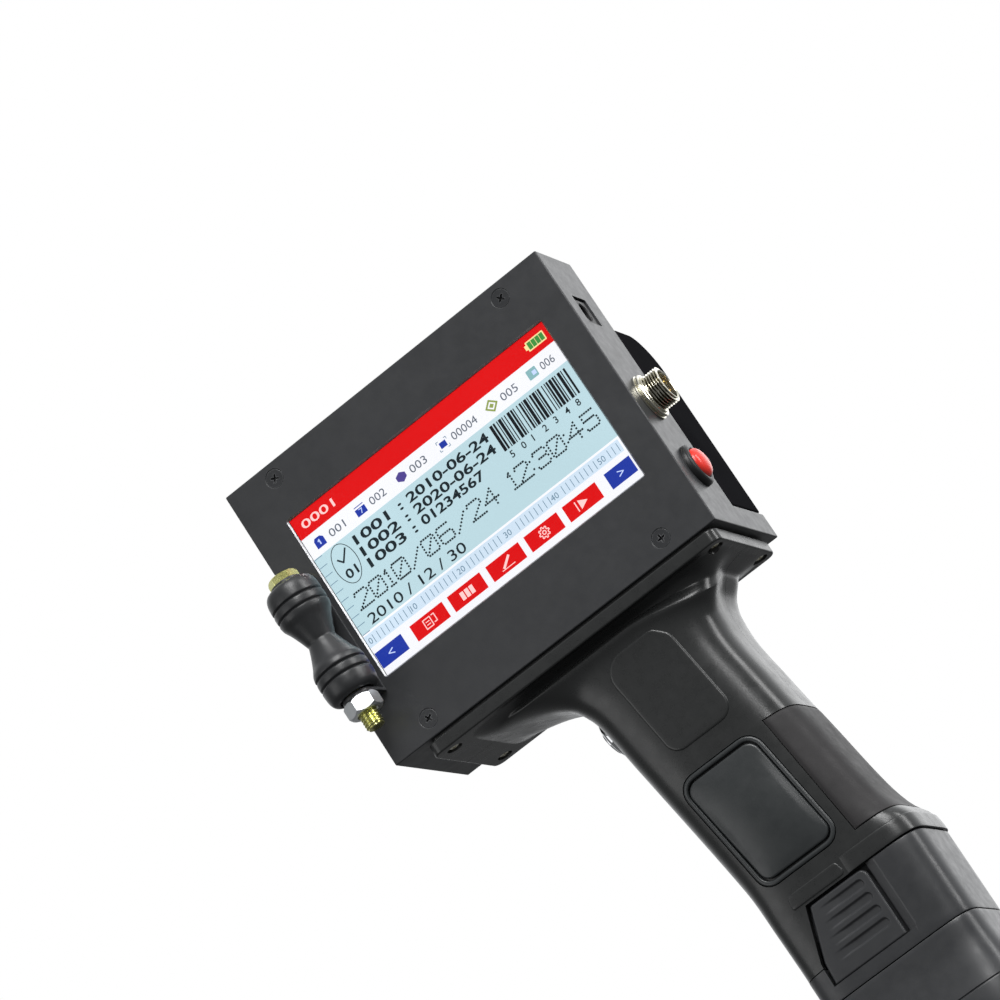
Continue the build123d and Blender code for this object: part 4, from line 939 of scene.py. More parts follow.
flat_cut = fix_normals(new_mesh("flat", fv, [(0, 1, 3, 2), (4, 6, 7, 5), (0, 4, 5, 1), (2, 3, 7, 6), (0, 2, 6, 4), (1, 5, 7, 3)]))
sv = [flat_o + fu * a + Vector((1, 0, 0)) * b + flat_n * c for a in (-0.35, 0.35) for b in (4.0, TIP - 1.6) for c in (-0.35, 3)]
slot_cut = fix_normals(new_mesh("slot", sv, [(0, 1, 3, 2), (4, 6, 7, 5), (0, 4, 5, 1), (2, 3, 7, 6), (0, 2, 6, 4), (1, 5, 7, 3)]))
barrel = cut(barrel, flat_cut, slot_cut)
tail = lathe([(0, -10), (5.4, -10), (5.85, -9.6), (5.85, 0.5), (0, 0.5)], C0, "x", 48)
conn = join(union(base, collar), barrel, tail)
socket = piece("socket_shell", conn, None, stands=("connector_shell",), mats=[M["nickel"], M["groove"]])
# thread root faces get the darker metal: painted shade in the grooves
for poly in socket.data.polygons:
    c = Vector((0, 0, 0))
    for vi in poly.vertices:
        c += socket.data.vertices[vi].co
    c = (c / len(poly.vertices) - HEAD) / MM
    if 2.6 < c.x - L < TIP - 0.5 and 4.9 < math.hypot(c.y - CONN.y, c.z - CONN.z) < 5.42 and len(poly.vertices) <= 5:
        poly.material_index = 1
insert = lathe([(0, 2.4), (4.7, 2.4), (4.72, 3.7), (4.5, 3.95), (0, 3.95)], C0, "x", 48)
insert = union(insert, rbox(L + 3.0, L + 6.2, CONN.y - 0.7, CONN.y + 0.7, CONN.z + 3.6, CONN.z + 4.6, 0.2))
piece("socket_insert", insert, M["black"], stands=("connector_insert",))
pins = []
for a in range(4):
    py, pz = CONN.y + 2.2 * math.cos(math.radians(45 + 90 * a)), CONN.z + 2.2 * math.sin(math.radians(45 + 90 * a))
    pins.append(lathe([(0, -12), (0.5, -12), (0.5, 6.0), (0.36, 6.4), (0.16, 6.6), (0, 6.6)], (L, py, pz), "x", 16))
piece("socket_pins", join(*pins), M["gold"], stands=("connector_pins",))

B0 = (L, BUTTON.y, BUTTON.z)
bezel = lathe([(4.95, 1.6), (5.05, 1.95), (5.35, 2.2), (5.75, 2.2), (6.25, 2.0), (6.68, 1.6), (6.93, 1.0), (7.0, 0.35), (7.0, 0.02), (5.9, 0.02), (5.9, -15.8),
               (5.5, -16), (4.6, -16), (4.6, -9), (4.95, -9)], B0, "x", 80, closed=True)
nut_out = [(BUTTON.y + p, BUTTON.z + q) for p, q in hexagon(7.8)]
bezel = join(bezel, cut(prism(nut_out, "x", L - 4.0, L - 1.8), lathe([(0, -6), (5.9, -6), (5.9, 1), (0, 1)], B0, "x", 40)))
piece("button_bezel", bezel, M["gloss"], stands=("power_button_bezel",))
cap = lathe([(0, 4.3), (1.4, 4.25), (2.6, 4.06), (3.5, 3.74), (4.15, 3.32), (4.6, 2.8), (4.82, 2.2), (4.87, 1.5), (4.86, -3.4), (4.7, -3.5), (0, -3.5)], B0, "x", 72)
piece("button_cap_red", cap, M["red"], body="power_cap", stands=("power_button_cap",))


# ---------------------------------------------------------------- guide roller
RX, RY = mid("guide_roller").x, mid("guide_roller").y
RZ0, RZ1 = lo("guide_roller").z, hi("guide_roller").z
ZM = (RZ0 + RZ1) / 2
HALF = (RZ1 - RZ0) / 2


def smooth_path(pts, n=4):
    """Catmull-Rom through points."""
    out = []
    for i in range(len(pts) - 1):
        p0, p1, p2, p3 = pts[max(i - 1, 0)], pts[i], pts[i + 1], pts[min(i + 2, len(pts) - 1)]
        for k in range(n):
            t = k / n
            q = []
            for c in range(2):
                q.append(0.5 * (2 * p1[c] + (p2[c] - p0[c]) * t + (2 * p0[c] - 5 * p1[c] + 4 * p2[c] - p3[c]) * t * t
                                + (3 * p1[c] - p0[c] - 3 * p2[c] + p3[c]) * t ** 3))
            out.append(tuple(q))
    out.append(tuple(pts[-1]))
    return out


def groove(c, r, w=0.55, d=0.62):
    return [(r, c + w + 0.12), (r - 0.1, c + w * 0.75), (r - d, c + w * 0.25), (r - d, c - w * 0.25), (r - 0.1, c - w * 0.75), (r, c - w - 0.12)]


up = [(3.06, HALF - 1.3), (5.1, HALF - 1.3), (5.35, HALF - 1.1), (5.5, HALF - 0.25), (5.8, HALF)]
up += smooth_path([(6.3, HALF - 0.02), (7.2, HALF - 0.45), (7.85, HALF - 1.4), (8.22, HALF - 2.9), (8.34, HALF - 4.6)], 3)
up += smooth_path(groove(13.65, 8.36), 2)
up += [(8.4, 12.7), (8.4, 11.7)]
up += smooth_path(groove(10.55, 8.34), 2)
up += smooth_path([(8.26, 9.4), (8.05, 8.5), (7.6, 7.6), (7.05, 6.6), (6.35, 5.0), (5.55, 3.0), (4.95, 1.3), (4.55, 0.15)], 3)
down = [(r, -h) for r, h in reversed(up)]
prof = up + down
roller = lathe([(r, h + ZM) for r, h in prof], (RX, RY, 0), "z", 112, closed=True)
piece("rubber_guide_roller", roller, M["roller"], body="guide_roller_body", stands=("guide_roller",), angle=40)

BZ0, BZ1 = lo("roller_bolt").z, hi("roller_bolt").z
R0 = (RX, RY, 0)
hexb = [(RX + p, RY + q) for p, q in hexagon(5.0, 12)]
head = keep(prism(hexb, "z", BZ1 - 2.9, BZ1), lathe([(0, BZ1 - 4), (4.6, BZ1 - 4), (4.97, BZ1 - 2.6), (4.97, BZ1 - 1.25), (4.5, BZ1 - 0.55), (3.7, BZ1 - 0.12), (2.9, BZ1), (0, BZ1)], R0, "z", 72))
shank = lathe([(0, 19.6), (2.95, 19.6), (2.95, BZ1 - 2.7), (0, BZ1 - 2.7)], R0, "z", 48)
thread = threaded(R0, "z", 3.0, 2.5, 1.0, BZ0, 20.0, 48, 10, 0.7)
piece("roller_axle_bolt", join(union(head, shank), thread), M["zinc_y"], stands=("roller_bolt",), angle=26)
NZ0, NZ1 = lo("roller_nut").z, hi("roller_nut").z
hexn = [(RX + p, RY + q) for p, q in hexagon(5.77, 24)]
nut = keep(prism(hexn, "z", NZ0, NZ1), lathe([(0, NZ0), (4.6, NZ0), (5.1, NZ0 + 0.25), (5.75, NZ0 + 0.9), (5.75, NZ1 - 0.9), (5.1, NZ1 - 0.25), (4.6, NZ1), (0, NZ1)], R0, "z", 72))
nut = cut(nut, lathe([(0, NZ0 - 1), (4.0, NZ0 - 1), (3.45, NZ0 + 0.05), (3.03, NZ0 + 0.6), (3.03, NZ1 + 1), (0, NZ1 + 1)], R0, "z", 48))
piece("roller_lock_nut", nut, M["zinc_w"], stands=("roller_nut",), angle=26)

plate = bevel(prism(round_poly([(0.4, 19.8), (10.2, 19.8), (10.2, 61.2), (0.4, 61.2)], 0.6, 3), "y", -0.9, 0.0), 0.18, 2, 50)
ears = []
for z0 in (19.8, 60.2):
    ear_out = [(10.2, -0.4), (9.62, RY)] + arc(RX, RY, 4.95, 0, -180, 14) + [(-0.22, RY), (0.4, -0.4)]
    ear = bevel(prism(ear_out, "z", z0, z0 + 1.0), 0.18, 2, 50)
    ears.append(cut(ear, lathe([(0, z0 - 1), (3.1, z0 - 1), (3.1, z0 + 2), (0, z0 + 2)], (RX, RY, 0), "z", 40)))
piece("roller_carrier", union(plate, *ears), M["shell"], stands=("roller_bracket",))
bs = join(*[screw_head((5.2, -2.0, z), (0, -1, 0), 1.9, 1.1, "pan", 6.8, 0.98, 0.3 + k) for k, z in enumerate((36.0, 45.4))])
piece("carrier_screws", bs, M["black_steel"], stands=("roller_bracket_screws",))


# --------------------------------------------------------------------- encoder
EX, EY = mid("encoder_tyre").x, mid("encoder_tyre").y
EZ0, EZ1 = lo("encoder_tyre").z, hi("encoder_tyre").z
ER = (hi("encoder_tyre").x - lo("encoder_tyre").x) / 2
EB0, EB1 = lo("encoder_body").z, hi("encoder_body").z
can = lathe([(2.06, EB0), (6.9, EB0), (7.3, EB0 + 0.3), (7.38, EB0 + 1.2), (7.38, EB0 + 3.4), (7.1, EB0 + 3.6), (7.1, EB0 + 4.0), (7.38, EB0 + 4.2), (7.38, EB1 - 1.2),
             (7.0, EB1 - 0.35), (6.3, EB1), (2.06, EB1 - 0.0)], (EX, EY, 0), "z", 80, closed=True)
can = join(can, lathe([(0, EB1 - 1.0), (2.2, EB1 - 1.0), (2.2, EB1 - 0.2), (0, EB1 - 0.2)], (EX, EY, 0), "z", 32))
plug = rbox(EX + 6.2, EX + 12, EY - 5, EY + 5, EB0, EB0 + 7.6, 0.5)
piece("encoder_can", join(can, plug), M["black_steel"], stands=("encoder_body",))
ribs = []
seg = 160
tv, tf = [], []
for prof_k, (r, z, knurl) in enumerate([(8.02, EZ0 + 0.2, 0), (8.4, EZ0 + 0.02, 0), (9.2, EZ0 + 0.05, 0), (ER - 0.35, EZ0 + 0.5, 0.4), (ER, EZ0 + 1.0, 1), (ER, EZ1 - 1.0, 1),
                                        (ER - 0.35, EZ1 - 0.5, 0.4), (9.2, EZ1 - 0.05, 0), (8.4, EZ1 - 0.02, 0), (8.02, EZ1 - 0.2, 0)]):
    for k in range(seg):
        t = 2 * math.pi * k / seg
        rr = r - (0.28 * knurl if k % 4 in (0, 1) else 0.0)
        tv.append((EX + rr * math.cos(t), EY + rr * math.sin(t), z))
for i in range(10):
    j = (i + 1) % 10
    for k in range(seg):
        k2 = (k + 1) % seg
        tf.append((i * seg + k, i * seg + k2, j * seg + k2, j * seg + k))
piece("encoder_tread", fix_normals(new_mesh("tread", tv, tf)), M["tyre"], body="encoder_rotor", stands=("encoder_tyre",))
hub = lathe([(2.0, EZ0), (3.2, EZ0), (3.4, EZ0 + 0.2), (3.4, EZ0 + 1.1), (6.2, EZ0 + 1.1), (6.4, EZ0 + 0.9), (6.4, EZ0 + 0.2), (6.6, EZ0 + 0.05), (7.8, EZ0 + 0.05), (7.95, EZ0 + 0.25),
             (7.95, EZ1 - 0.25), (7.8, EZ1 - 0.05), (6.6, EZ1 - 0.05), (6.4, EZ1 - 0.2), (6.4, EZ1 - 0.9), (6.2, EZ1 - 1.1), (3.4, EZ1 - 1.1), (3.4, EZ1 + 0.1),
             (3.2, EZ1 + 0.3), (2.0, EZ1 + 0.3)], (EX, EY, 0), "z", 80, closed=True)
hub = cut(hub, join(*[lathe([(0, EZ0 - 1), (0.95, EZ0 - 1), (0.95, EZ1 + 1), (0, EZ1 + 1)],
                            (EX + 4.9 * math.cos(math.radians(72 * a)), EY + 4.9 * math.sin(math.radians(72 * a)), 0), "z", 20) for a in range(5)]))
piece("encoder_hub", hub, M["alu"], body="encoder_rotor", stands=("encoder_wheel",))
es = join(*[screw_head((x, 30.3, 91.4), (0, 1, 0), 2.0, 1.4, "pan", 7.5, 1.0, 0.5 + k) for k, x in enumerate((24.5, 31.5))])
piece("encoder_screw_set", es, M["black_steel"], stands=("encoder_screws",))


# ---------------------------------------------------------------- cartridge bay
CY, CZ, CR = 51.8, 73.0, 13.0
mo = [(BOX, 8.4), (CY - 0.1, 8.4)] + arc(CY - 0.1 - CR, CZ - 0.1 - CR, CR, 0, 90, 16) + [(BOX, CZ - 0.1)]
muz = bevel(prism(mo, "x", 0.0, 2.0), 0.35, 2, 40)
nose = rrect(46.4 - 31.6, 43.4 - 19.0, 1.0, 4, 39.0, 31.2)
nb = inset(nose, -0.6)
n = len(nose)
fl = new_mesh("fl", [(-0.2, p, q) for p, q in inset(nose, -0.8)] + [(0.6, p, q) for p, q in nose],
              [tuple(range(n)), tuple(range(2 * n - 1, n - 1, -1))] + [(i, (i + 1) % n, n + (i + 1) % n, n + i) for i in range(n)])
muz = cut(muz, prism(nose, "x", -1, 3), fix_normals(fl))
piece("muzzle_face", muz, M["shell"], stands=("muzzle_plate",))

DX0, DX1 = lo("cartridge_door").x, hi("cartridge_door").x
DY0 = BOX + 0.3
do = [(DY0, 8.7), (CY, 8.7)] + arc(CY - CR, CZ - CR, CR, 0, 90, 20) + [(DY0, CZ)]
door = bevel(prism(do, "x", DX0, DX1), 0.6, 3, 40)
void = [(BOX - 1, 7.0), (CY - 1.9, 7.0)] + arc(CY - CR, CZ - CR, CR - 1.9, 0, 90, 16) + [(BOX - 1, CZ - 1.9)]
door = cut(door, prism(void, "x", 1.0, DX1 - 1.8))
HY, HZ = 51.5, 10.4
mid_x = L / 2
door = cut(door, join(*[box(kx - 0.3, kx + 10.3, HY - 4, HY + 3, 7, HZ + 2.6) for kx in (20.0, 90.0)]),
           lathe([(0, -6), (9.0, -6), (9.0, 6), (0, 6)], (mid_x, DY0 - 3.5, CZ + 2.2), "z", 40),
           # shallow finger grooves near the top edge
           join(*[swept([(mid_x - 16, y, CZ + 0.15), (mid_x + 16, y, CZ + 0.15)], 0.5, 10) for y in (DY0 + 8.0, DY0 + 9.9)]))
kn = []
for kx in (20.0, 90.0):
    for a, b in ((kx - 10.3, kx - 0.3), (kx + 10.3, kx + 20.3)):
        kn.append(lathe([(1.06, a), (1.6, a), (1.9, a + 0.3), (1.9, b - 0.3), (1.6, b), (1.06, b)], (0, HY, HZ), "x", 32, closed=True))
piece("cartridge_cover", join(union(door, kn[0], kn[1], kn[2], kn[3])), M["cover"], body="door", stands=("cartridge_door",))

BX = (lo("cartridge_body"), hi("cartridge_body"))
bodyc = box(12.0, 76.0, 29.4, 48.6, 11.4, 61.0)
bodyc = bevel(bodyc, 1.6, 3, 40)
noseb = bevel(box(-0.5, 13.5, 32.2, 45.8, 19.8, 42.6), 0.9, 3, 40)
bodyc = union(bodyc, noseb)
bodyc = cut(bodyc, join(*[rbox(50 + 4 * k, 52 + 4 * k, 48.2, 49.6, 16, 56, 0.3) for k in range(5)]),
            rbox(18, 46, 48.35, 49.5, 20, 54, 0.3))
piece("ink_cartridge", bodyc, M["cart"], stands=("cartridge_body",))
capc = rbox(76.02, 78.0, 29.8, 48.2, 11.8, 60.6, 0.7, 3)
capc = cut(capc, join(*[rbox(77.6, 78.6, 33 + 3.2 * k, 34.6 + 3.2 * k, 20, 52, 0.2) for k in range(4)]))
piece("ink_cartridge_lid", capc, M["gloss"], stands=("cartridge_cap",))


# ------------------------------------------------------------------- the grip
OY = (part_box("grip_shell_front")[1] - HEAD).y / MM       # part plane of the two halves
SEC = [(-5.0, 21.4, 115.2, 22.7, 8.0), (-5.7, 23.5, 111.6, 20.0, 6.6), (-6.6, 26.6, 108.4, 18.7, 5.8), (-7.5, 30.0, 107.4, 19.7, 5.4), (-8.3, 33.2, 106.9, 20.45, 5.2), (-9.2, 36.4, 106.2, 20.3, 5.0),
       (-10.4, 40.0, 105.2, 19.8, 4.8), (-12.0, 43.8, 103.9, 19.25, 4.7), (-14.2, 47.4, 102.8, 18.85, 4.6), (-17.0, 50.0, 102.0, 18.65, 4.5), (-24.0, 53.0, 101.6, 18.5, 4.3), (-40.0, 55.4, 103.6, 18.5, 4.2),
       (-62.0, 58.7, 107.0, 18.5, 4.2), (-84.0, 62.0, 110.4, 18.5, 4.5), (-92.0, 63.1, 112.6, 18.5, 5.0), (-98.0, 63.5, 116.0, 18.55, 5.6),
       (-104.0, 63.7, 116.5, 18.6, 6.0), (-122.0, 64.0, 116.5, 18.6, 6.0), (-131.2, 64.0, 116.4, 18.6, 6.0)]


def hermite_table(rows):
    """Monotone cubic through the section rows, by height."""
    rows = sorted(rows)
    zs = [r[0] for r in rows]
    cols = list(zip(*rows))[1:]
    slopes = []
    for c in cols:
        d = [(c[i + 1] - c[i]) / (zs[i + 1] - zs[i]) for i in range(len(zs) - 1)]
        m = [d[0]] + [0.0 if d[i - 1] * d[i] <= 0 else 2 * d[i - 1] * d[i] / (d[i - 1] + d[i]) for i in range(1, len(d))] + [d[-1]]
        slopes.append(m)

    def at(z):
        z = min(max(z, zs[0]), zs[-1])
        i = 0
        while i < len(zs) - 2 and z > zs[i + 1]:
            i += 1
        h = zs[i + 1] - zs[i]
        t = (z - zs[i]) / h
        out = []
        for c, m in zip(cols, slopes):
            out.append((2 * t ** 3 - 3 * t ** 2 + 1) * c[i] + (t ** 3 - 2 * t ** 2 + t) * h * m[i]
                       + (-2 * t ** 3 + 3 * t ** 2) * c[i + 1] + (t ** 3 - t ** 2) * h * m[i + 1])
        return out
    return at


grip_at = hermite_table(SEC)


def super_ring(xf, xb, hw, p, n=144, off=0.0, cy=None):
    """n points evenly spread round a superellipse section, from the front middle, screen side first."""
    cy = OY if cy is None else cy
    a, b, cx = (xb - xf) / 2 + off, hw + off, (xb + xf) / 2
    dense = []
    m = 720
    for k in range(m):
        t = 2 * math.pi * k / m
        c, s = math.cos(t), math.sin(t)
        dense.append((cx - a * math.copysign(abs(c) ** (2 / p), c), cy - b * math.copysign(abs(s) ** (2 / p), s)))
    d = [0.0]
    for k in range(m):
        q, r = dense[k], dense[(k + 1) % m]
        d.append(d[-1] + math.hypot(r[0] - q[0], r[1] - q[1]))
    out, j = [], 0
    for k in range(n):
        want = d[-1] * k / n
        while d[j + 1] < want:
            j += 1
        f = (want - d[j]) / max(d[j + 1] - d[j], 1e-9)
        q, r = dense[j], dense[(j + 1) % m]
        out.append((q[0] + (r[0] - q[0]) * f, q[1] + (r[1] - q[1]) * f))
    return out


def grip_ring(z, n=144, off=0.0):
    xf, xb, hw, p = grip_at(z)
    return super_ring(xf, xb, hw, p, n, off)


def loft(rings, zs):
    """Closed solid through rings of equal length at heights zs."""
    n = len(rings[0])
    v = [(x, y, z) for ring, z in zip(rings, zs) for x, y in ring]
    f = [tuple(range(n)), tuple(range(len(rings) * n - 1, (len(rings) - 1) * n - 1, -1))]
    for i in range(len(rings) - 1):
        for k in range(n):
            k2 = (k + 1) % n
            f.append((i * n + k, i * n + k2, (i + 1) * n + k2, (i + 1) * n + k))
    return fix_normals(new_mesh("loft", v, f))


def zrange(a, b, step):
    n = max(2, int(abs(b - a) / step) + 1)
    return [a + (b - a) * k / (n - 1) for k in range(n)]


def side_y(x, z, off=0.0, table=None):
    """Distance from the part plane to the grip's side surface at (x, z)."""
    xf, xb, hw, p = (table or grip_at)(z)
    a, cx = (xb - xf) / 2 + off, (xb + xf) / 2
    u = min(abs((x - cx) / a), 0.9999)
    return (hw + off) * (1 - u ** p) ** (1 / p)


def patch(outline, side, outer, inner, edge=(), rings=9, crown=0.0, table=None):
    """Plate that follows the grip's side. outline is (x, z); outer and inner are offsets from the surface;
    edge is a list of (inset, drop) that rounds the outer rim; crown raises the middle."""
    n = len(outline)
    cx, cz = sum(p[0] for p in outline) / n, sum(p[1] for p in outline) / n
    verts, faces = [], []

    hz = max(abs(z - cz) for x, z in outline)
    hx = max(abs(x - cx - 0.15 * (cz - z)) for x, z in outline)

    def bulge(x, z):
        u, w = (x - cx - 0.15 * (cz - z)) / hx, (z - cz) / hz
        return crown * max(0.0, 1 - u * u) * max(0.0, 1 - w * w)

    def put(ring, off):
        base = len(verts)
        for x, z in ring:
            verts.append((x, OY + side * (side_y(x, z, 0.0, table) + off), z))
        return list(range(base, base + n))

    loops = [put(outline, inner)]
    rim = list(edge) or [(0.0, 0.0)]
    for ins, drop in rim:
        loops.append(put(inset(outline, ins) if ins else outline, outer - drop))
    last = inset(outline, rim[-1][0]) if rim[-1][0] else outline
    for j in range(1, rings):
        s = 1 - j / rings
        ring = [(cx + (x - cx) * s, cz + (z - cz) * s) for x, z in last]
        base = len(verts)
        for x, z in ring:
            verts.append((x, OY + side * (side_y(x, z, 0.0, table) + outer + bulge(x, z)), z))
        loops.append(list(range(base, base + n)))
    for p, q in zip(loops, loops[1:]):
        for k in range(n):
            k2 = (k + 1) % n
            faces.append((p[k], p[k2], q[k2], q[k]))
    c = len(verts)
    verts.append((cx, OY + side * (side_y(cx, cz, 0.0, table) + outer + crown), cz))
    for k in range(n):
        faces.append((loops[-1][k], loops[-1][(k + 1) % n], c))
    prev = loops[0]
    for j in range(1, 5):
        s = 1 - j / 5
        ring = put([(cx + (x - cx) * s, cz + (z - cz) * s) for x, z in outline], inner)
        for k in range(n):
            k2 = (k + 1) % n
            faces.append((prev[k], ring[k], ring[k2], prev[k2]))
        prev = ring
    c = len(verts)
    verts.append((cx, OY + side * (side_y(cx, cz, 0.0, table) + inner), cz))
    for k in range(n):
        faces.append((prev[k], c, prev[(k + 1) % n]))
    return fix_normals(new_mesh("patch", verts, faces))


def band(outline, profile, side, table=None):
    """Closed bead along an outline: profile points are (inset, height over the surface)."""
    n, m = len(outline), len(profile)
    loops = [inset(outline, o) if abs(o) > 1e-6 else outline for o, h in profile]
    verts, faces = [], []
    for ring, (o, h) in zip(loops, profile):
        for x, z in ring:
            verts.append((x, OY + side * (side_y(x, z, 0.0, table) + h), z))
    for i in range(m):
        j = (i + 1) % m
        for k in range(n):
            k2 = (k + 1) % n
            faces.append((i * n + k, i * n + k2, j * n + k2, j * n + k))
    return fix_normals(new_mesh("band", verts, faces))


def densify(outline, step=1.2):
    out = []
    n = len(outline)
    for i in range(n):
        a, b = Vector(outline[i]), Vector(outline[(i + 1) % n])
        k = max(1, int((b - a).length / step))
        for j in range(k):
            out.append(tuple(a + (b - a) * (j / k)))
    return out


def wrap(zs, x_at, outer, inner, cols=80, margin=0.0, rim=0.0, table=None):
    """Plate round the back of the grip, from where x = x_at(z) on the screen side to the same line on the far side."""
    verts, faces = [], []
    rows = []
    for iz, z in enumerate(zs):
        xf, xb, hw, p = (table or grip_at)(z)
        ring = super_ring(xf, xb, hw, p, 480)
        nor = []
        for k in range(480):
            a, b = ring[k - 1], ring[(k + 1) % 480]
            t = Vector((b[0] - a[0], b[1] - a[1])).normalized()
            nor.append((t.y, -t.x))
        xl = x_at(z) - margin
        k0 = next(k for k in range(240) if ring[k][0] >= xl)
        q0 = k0 - (ring[k0][0] - xl) / max(ring[k0][0] - ring[k0 - 1][0], 1e-6)
        q1 = 480 - q0
        o_row, i_row = [], []
        for j in range(cols + 1):
            q = q0 + (q1 - q0) * j / cols
            k, f = int(q) % 480, q - int(q)
            x = ring[k][0] * (1 - f) + ring[(k + 1) % 480][0] * f
            y = ring[k][1] * (1 - f) + ring[(k + 1) % 480][1] * f
            nx, ny = nor[k]
            if nx * (x - (xf + xb) / 2) + ny * (y - OY) < 0:
                nx, ny = -nx, -ny
            edge = min(j, cols - j, iz * 1.0, (len(zs) - 1 - iz) * 1.0)
            drop = rim if edge == 0 else (rim * 0.25 if edge == 1 else 0.0)
            o_row.append(len(verts))
            verts.append((x + nx * (outer - drop), y + ny * (outer - drop), z))
            i_row.append(len(verts))
            verts.append((x + nx * inner, y + ny * inner, z))
        rows.append((o_row, i_row))
    for (a, ai), (b, bi) in zip(rows, rows[1:]):
        for j in range(cols):
            faces.append((a[j], a[j + 1], b[j + 1], b[j]))
            faces.append((ai[j], bi[j], bi[j + 1], ai[j + 1]))
        faces.append((a[0], b[0], bi[0], ai[0]))
        faces.append((a[cols], ai[cols], bi[cols], b[cols]))
    for (o, i), flip in ((rows[0], 1), (rows[-1], -1)):
        for j in range(cols):
            q = (o[j], i[j], i[j + 1], o[j + 1])
            faces.append(q if flip > 0 else tuple(reversed(q)))
    return fix_normals(new_mesh("wrap", verts, faces))


SEAM = -103.6
LIP = -121.0
FOOT = hi("battery_foot").z
PAD = densify(round_poly([(66.15, -55.75), (91.05, -55.75), (96.2, -91.65), (71.7, -91.65)], [3.5, 4.0, 3.2, 3.5], 6), 1.3)
RIDGE = densify(round_poly([(64.2, -53.6), (92.6, -53.6), (98.2, -93.8), (70.0, -93.8)], [5.2, 5.8, 5.0, 5.2], 6), 1.3)

zs = [-5.0, -5.2, -5.45, -5.7, -6.0, -6.3, -6.6, -6.9, -7.2, -7.5, -7.8, -8.05, -8.3, -8.6, -8.9, -9.3, -9.8, -10.4, -11.1, -12.0, -13.0, -14.2, -15.5] + zrange(-17.0, -96.6, 2.1) + [-98.0, -99.5, -101.5, -104, -110, -116, -122.4]
grip_solid = loft([grip_ring(z) for z in zs], zs)


def ease(t):
    t = max(0.0, min(1.0, t))
    return t * t * (3 - 2 * t)


# the crease under the flange drops towards the back; the far side of the funnel has no shoulder
for v in grip_solid.vertices:
    x, y, z = v.co
    if y > OY and z < -6.6:
        v.co.y = OY + (y - OY) * min(1.0, 18.6 / grip_at(z)[2])
    if -24.0 < z < -5.05 and y < OY:
        w = (z + 5.05) / (-8.3 + 5.05) if z > -8.3 else (z + 24.0) / (24.0 - 8.3)
        v.co.z = z - 4.2 * w * ease((x - 78) / 26) * ease((abs(y - OY) - 1.5) / 14.5)
grip_solid = fix_normals(grip_solid)
inner_zs = [-12.0, -17, -24, -32, -40, -51, -62, -73, -84, -92, -98, -104, -113, -124]
grip_void = loft([grip_ring(z, 72, -2.2) for z in inner_zs], inner_zs)

flange = bevel(prism(rrect(106.8, 48.8, 3.2, 6, 64.1, OY), "z", -5.0, -0.9), 0.55, 3, 50)
step = prism(rrect(104.0, 46.0, 2.4, 5, 64.1, OY), "z", -0.95, 0.0)
grip_solid = union(grip_solid, flange, step)
seam_cut = prism([(77.4, SEAM), (130, SEAM), (130, -126), (71.3, -126), (71.8, -119.6)], "y", -10, 70)
lip_cut = box(50, 130, -10, 60, -130, LIP)
neck = prism(rrect(34, 22, 4, 4, 77, 20), "z", -13, 1)
strap_x = lambda z: 95.4 + (101.6 - 95.4) * (-42.0 - z) / 52.5
strap_zs = [-53.5, -53.75] + zrange(-55.0, -93.0, 2.5) + [-94.25, -94.5]
strap_cut = wrap([-53.25] + strap_zs[1:-1] + [-94.75], strap_x, 3.0, -1.45, 70, 0.25)
post_holes = join(*[lathe([(0, OY + 16.6), (2.5, OY + 16.6), (2.5, OY + 21), (0, OY + 21)], (x, 0, z), "y", 32) for x, z in ((60.5, -15.4), (91.0, -25.6))])
fl_holes = join(*[lathe([(0, -3.2), (2.35, -3.2), (2.4, -4.8), (2.6, -5.1), (2.6, -10.5), (0, -10.5)], (x, y, 0), "z", 36) for x in (16.2, 113.6) for y in (5.6, 43.4)])
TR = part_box("trigger_bezel")
TAX = Vector((-1, 0, -0.15)).normalized()
TO = Vector((53.45, OY, -27.0))
trig_cut = lathe([(0, -8), (6.0, -8), (6.0, 0.0), (7.45, 0.0), (7.6, 0.6), (7.6, 5), (0, 5)], TO, TAX, 64)
pockets = [patch(inset(RIDGE, -0.25), s, 6.0, -1.3, rings=4) for s in (-1, 1)]
tab_out = round_poly([(74.2, -98.6), (91.6, -98.6), (92.6, -102.9), (73.6, -102.9)], [0.8, 1.2, 1.2, 0.8], 4)
tabs = [patch(densify(tab_out, 1.2), s, 0.3, -1.0, edge=((0.0, 0.2), (0.15, 0.05), (0.35, 0.0)), rings=4) for s in (-1, 1)]
panel_out = densify(round_poly([(65.2, -12.4), (84.6, -12.4), (88.6, -16.6), (92.6, -46.5), (69.6, -46.5)], [6.5, 3.4, 4.0, 5.0, 5.0], 6), 1.3)
panels = [patch(panel_out, s, 0.42, -0.8, edge=((0.0, 0.4), (0.12, 0.22), (0.35, 0.08), (0.8, 0.0)), rings=8, crown=-0.1) for s in (-1, 1)]
collar_zs = [-98.3, -98.45, -98.7] + zrange(-99.6, -102.6, 1.0) + [-103.25, -103.5, -103.6]
collar = wrap(collar_zs, lambda z: 93.2, 0.42, -1.2, 60, 0.0, 0.22)
full = union(grip_solid, tabs[0], tabs[1], collar, panels[0], panels[1])
full = cut(full, grip_void, seam_cut, lip_cut, neck, strap_cut, post_holes, fl_holes, trig_cut, pockets[0], pockets[1])
half_front = cut(full, box(-20, 150, OY - 0.06, 80, -140, 20))
half_rear = cut(full, box(-20, 150, -40, OY + 0.06, -140, 20))
piece("grip_half_front", half_front, M["grip"], stands=("grip_shell_front",), angle=35)
piece("grip_half_rear", half_rear, M["grip"], stands=("grip_shell_rear",), angle=35)

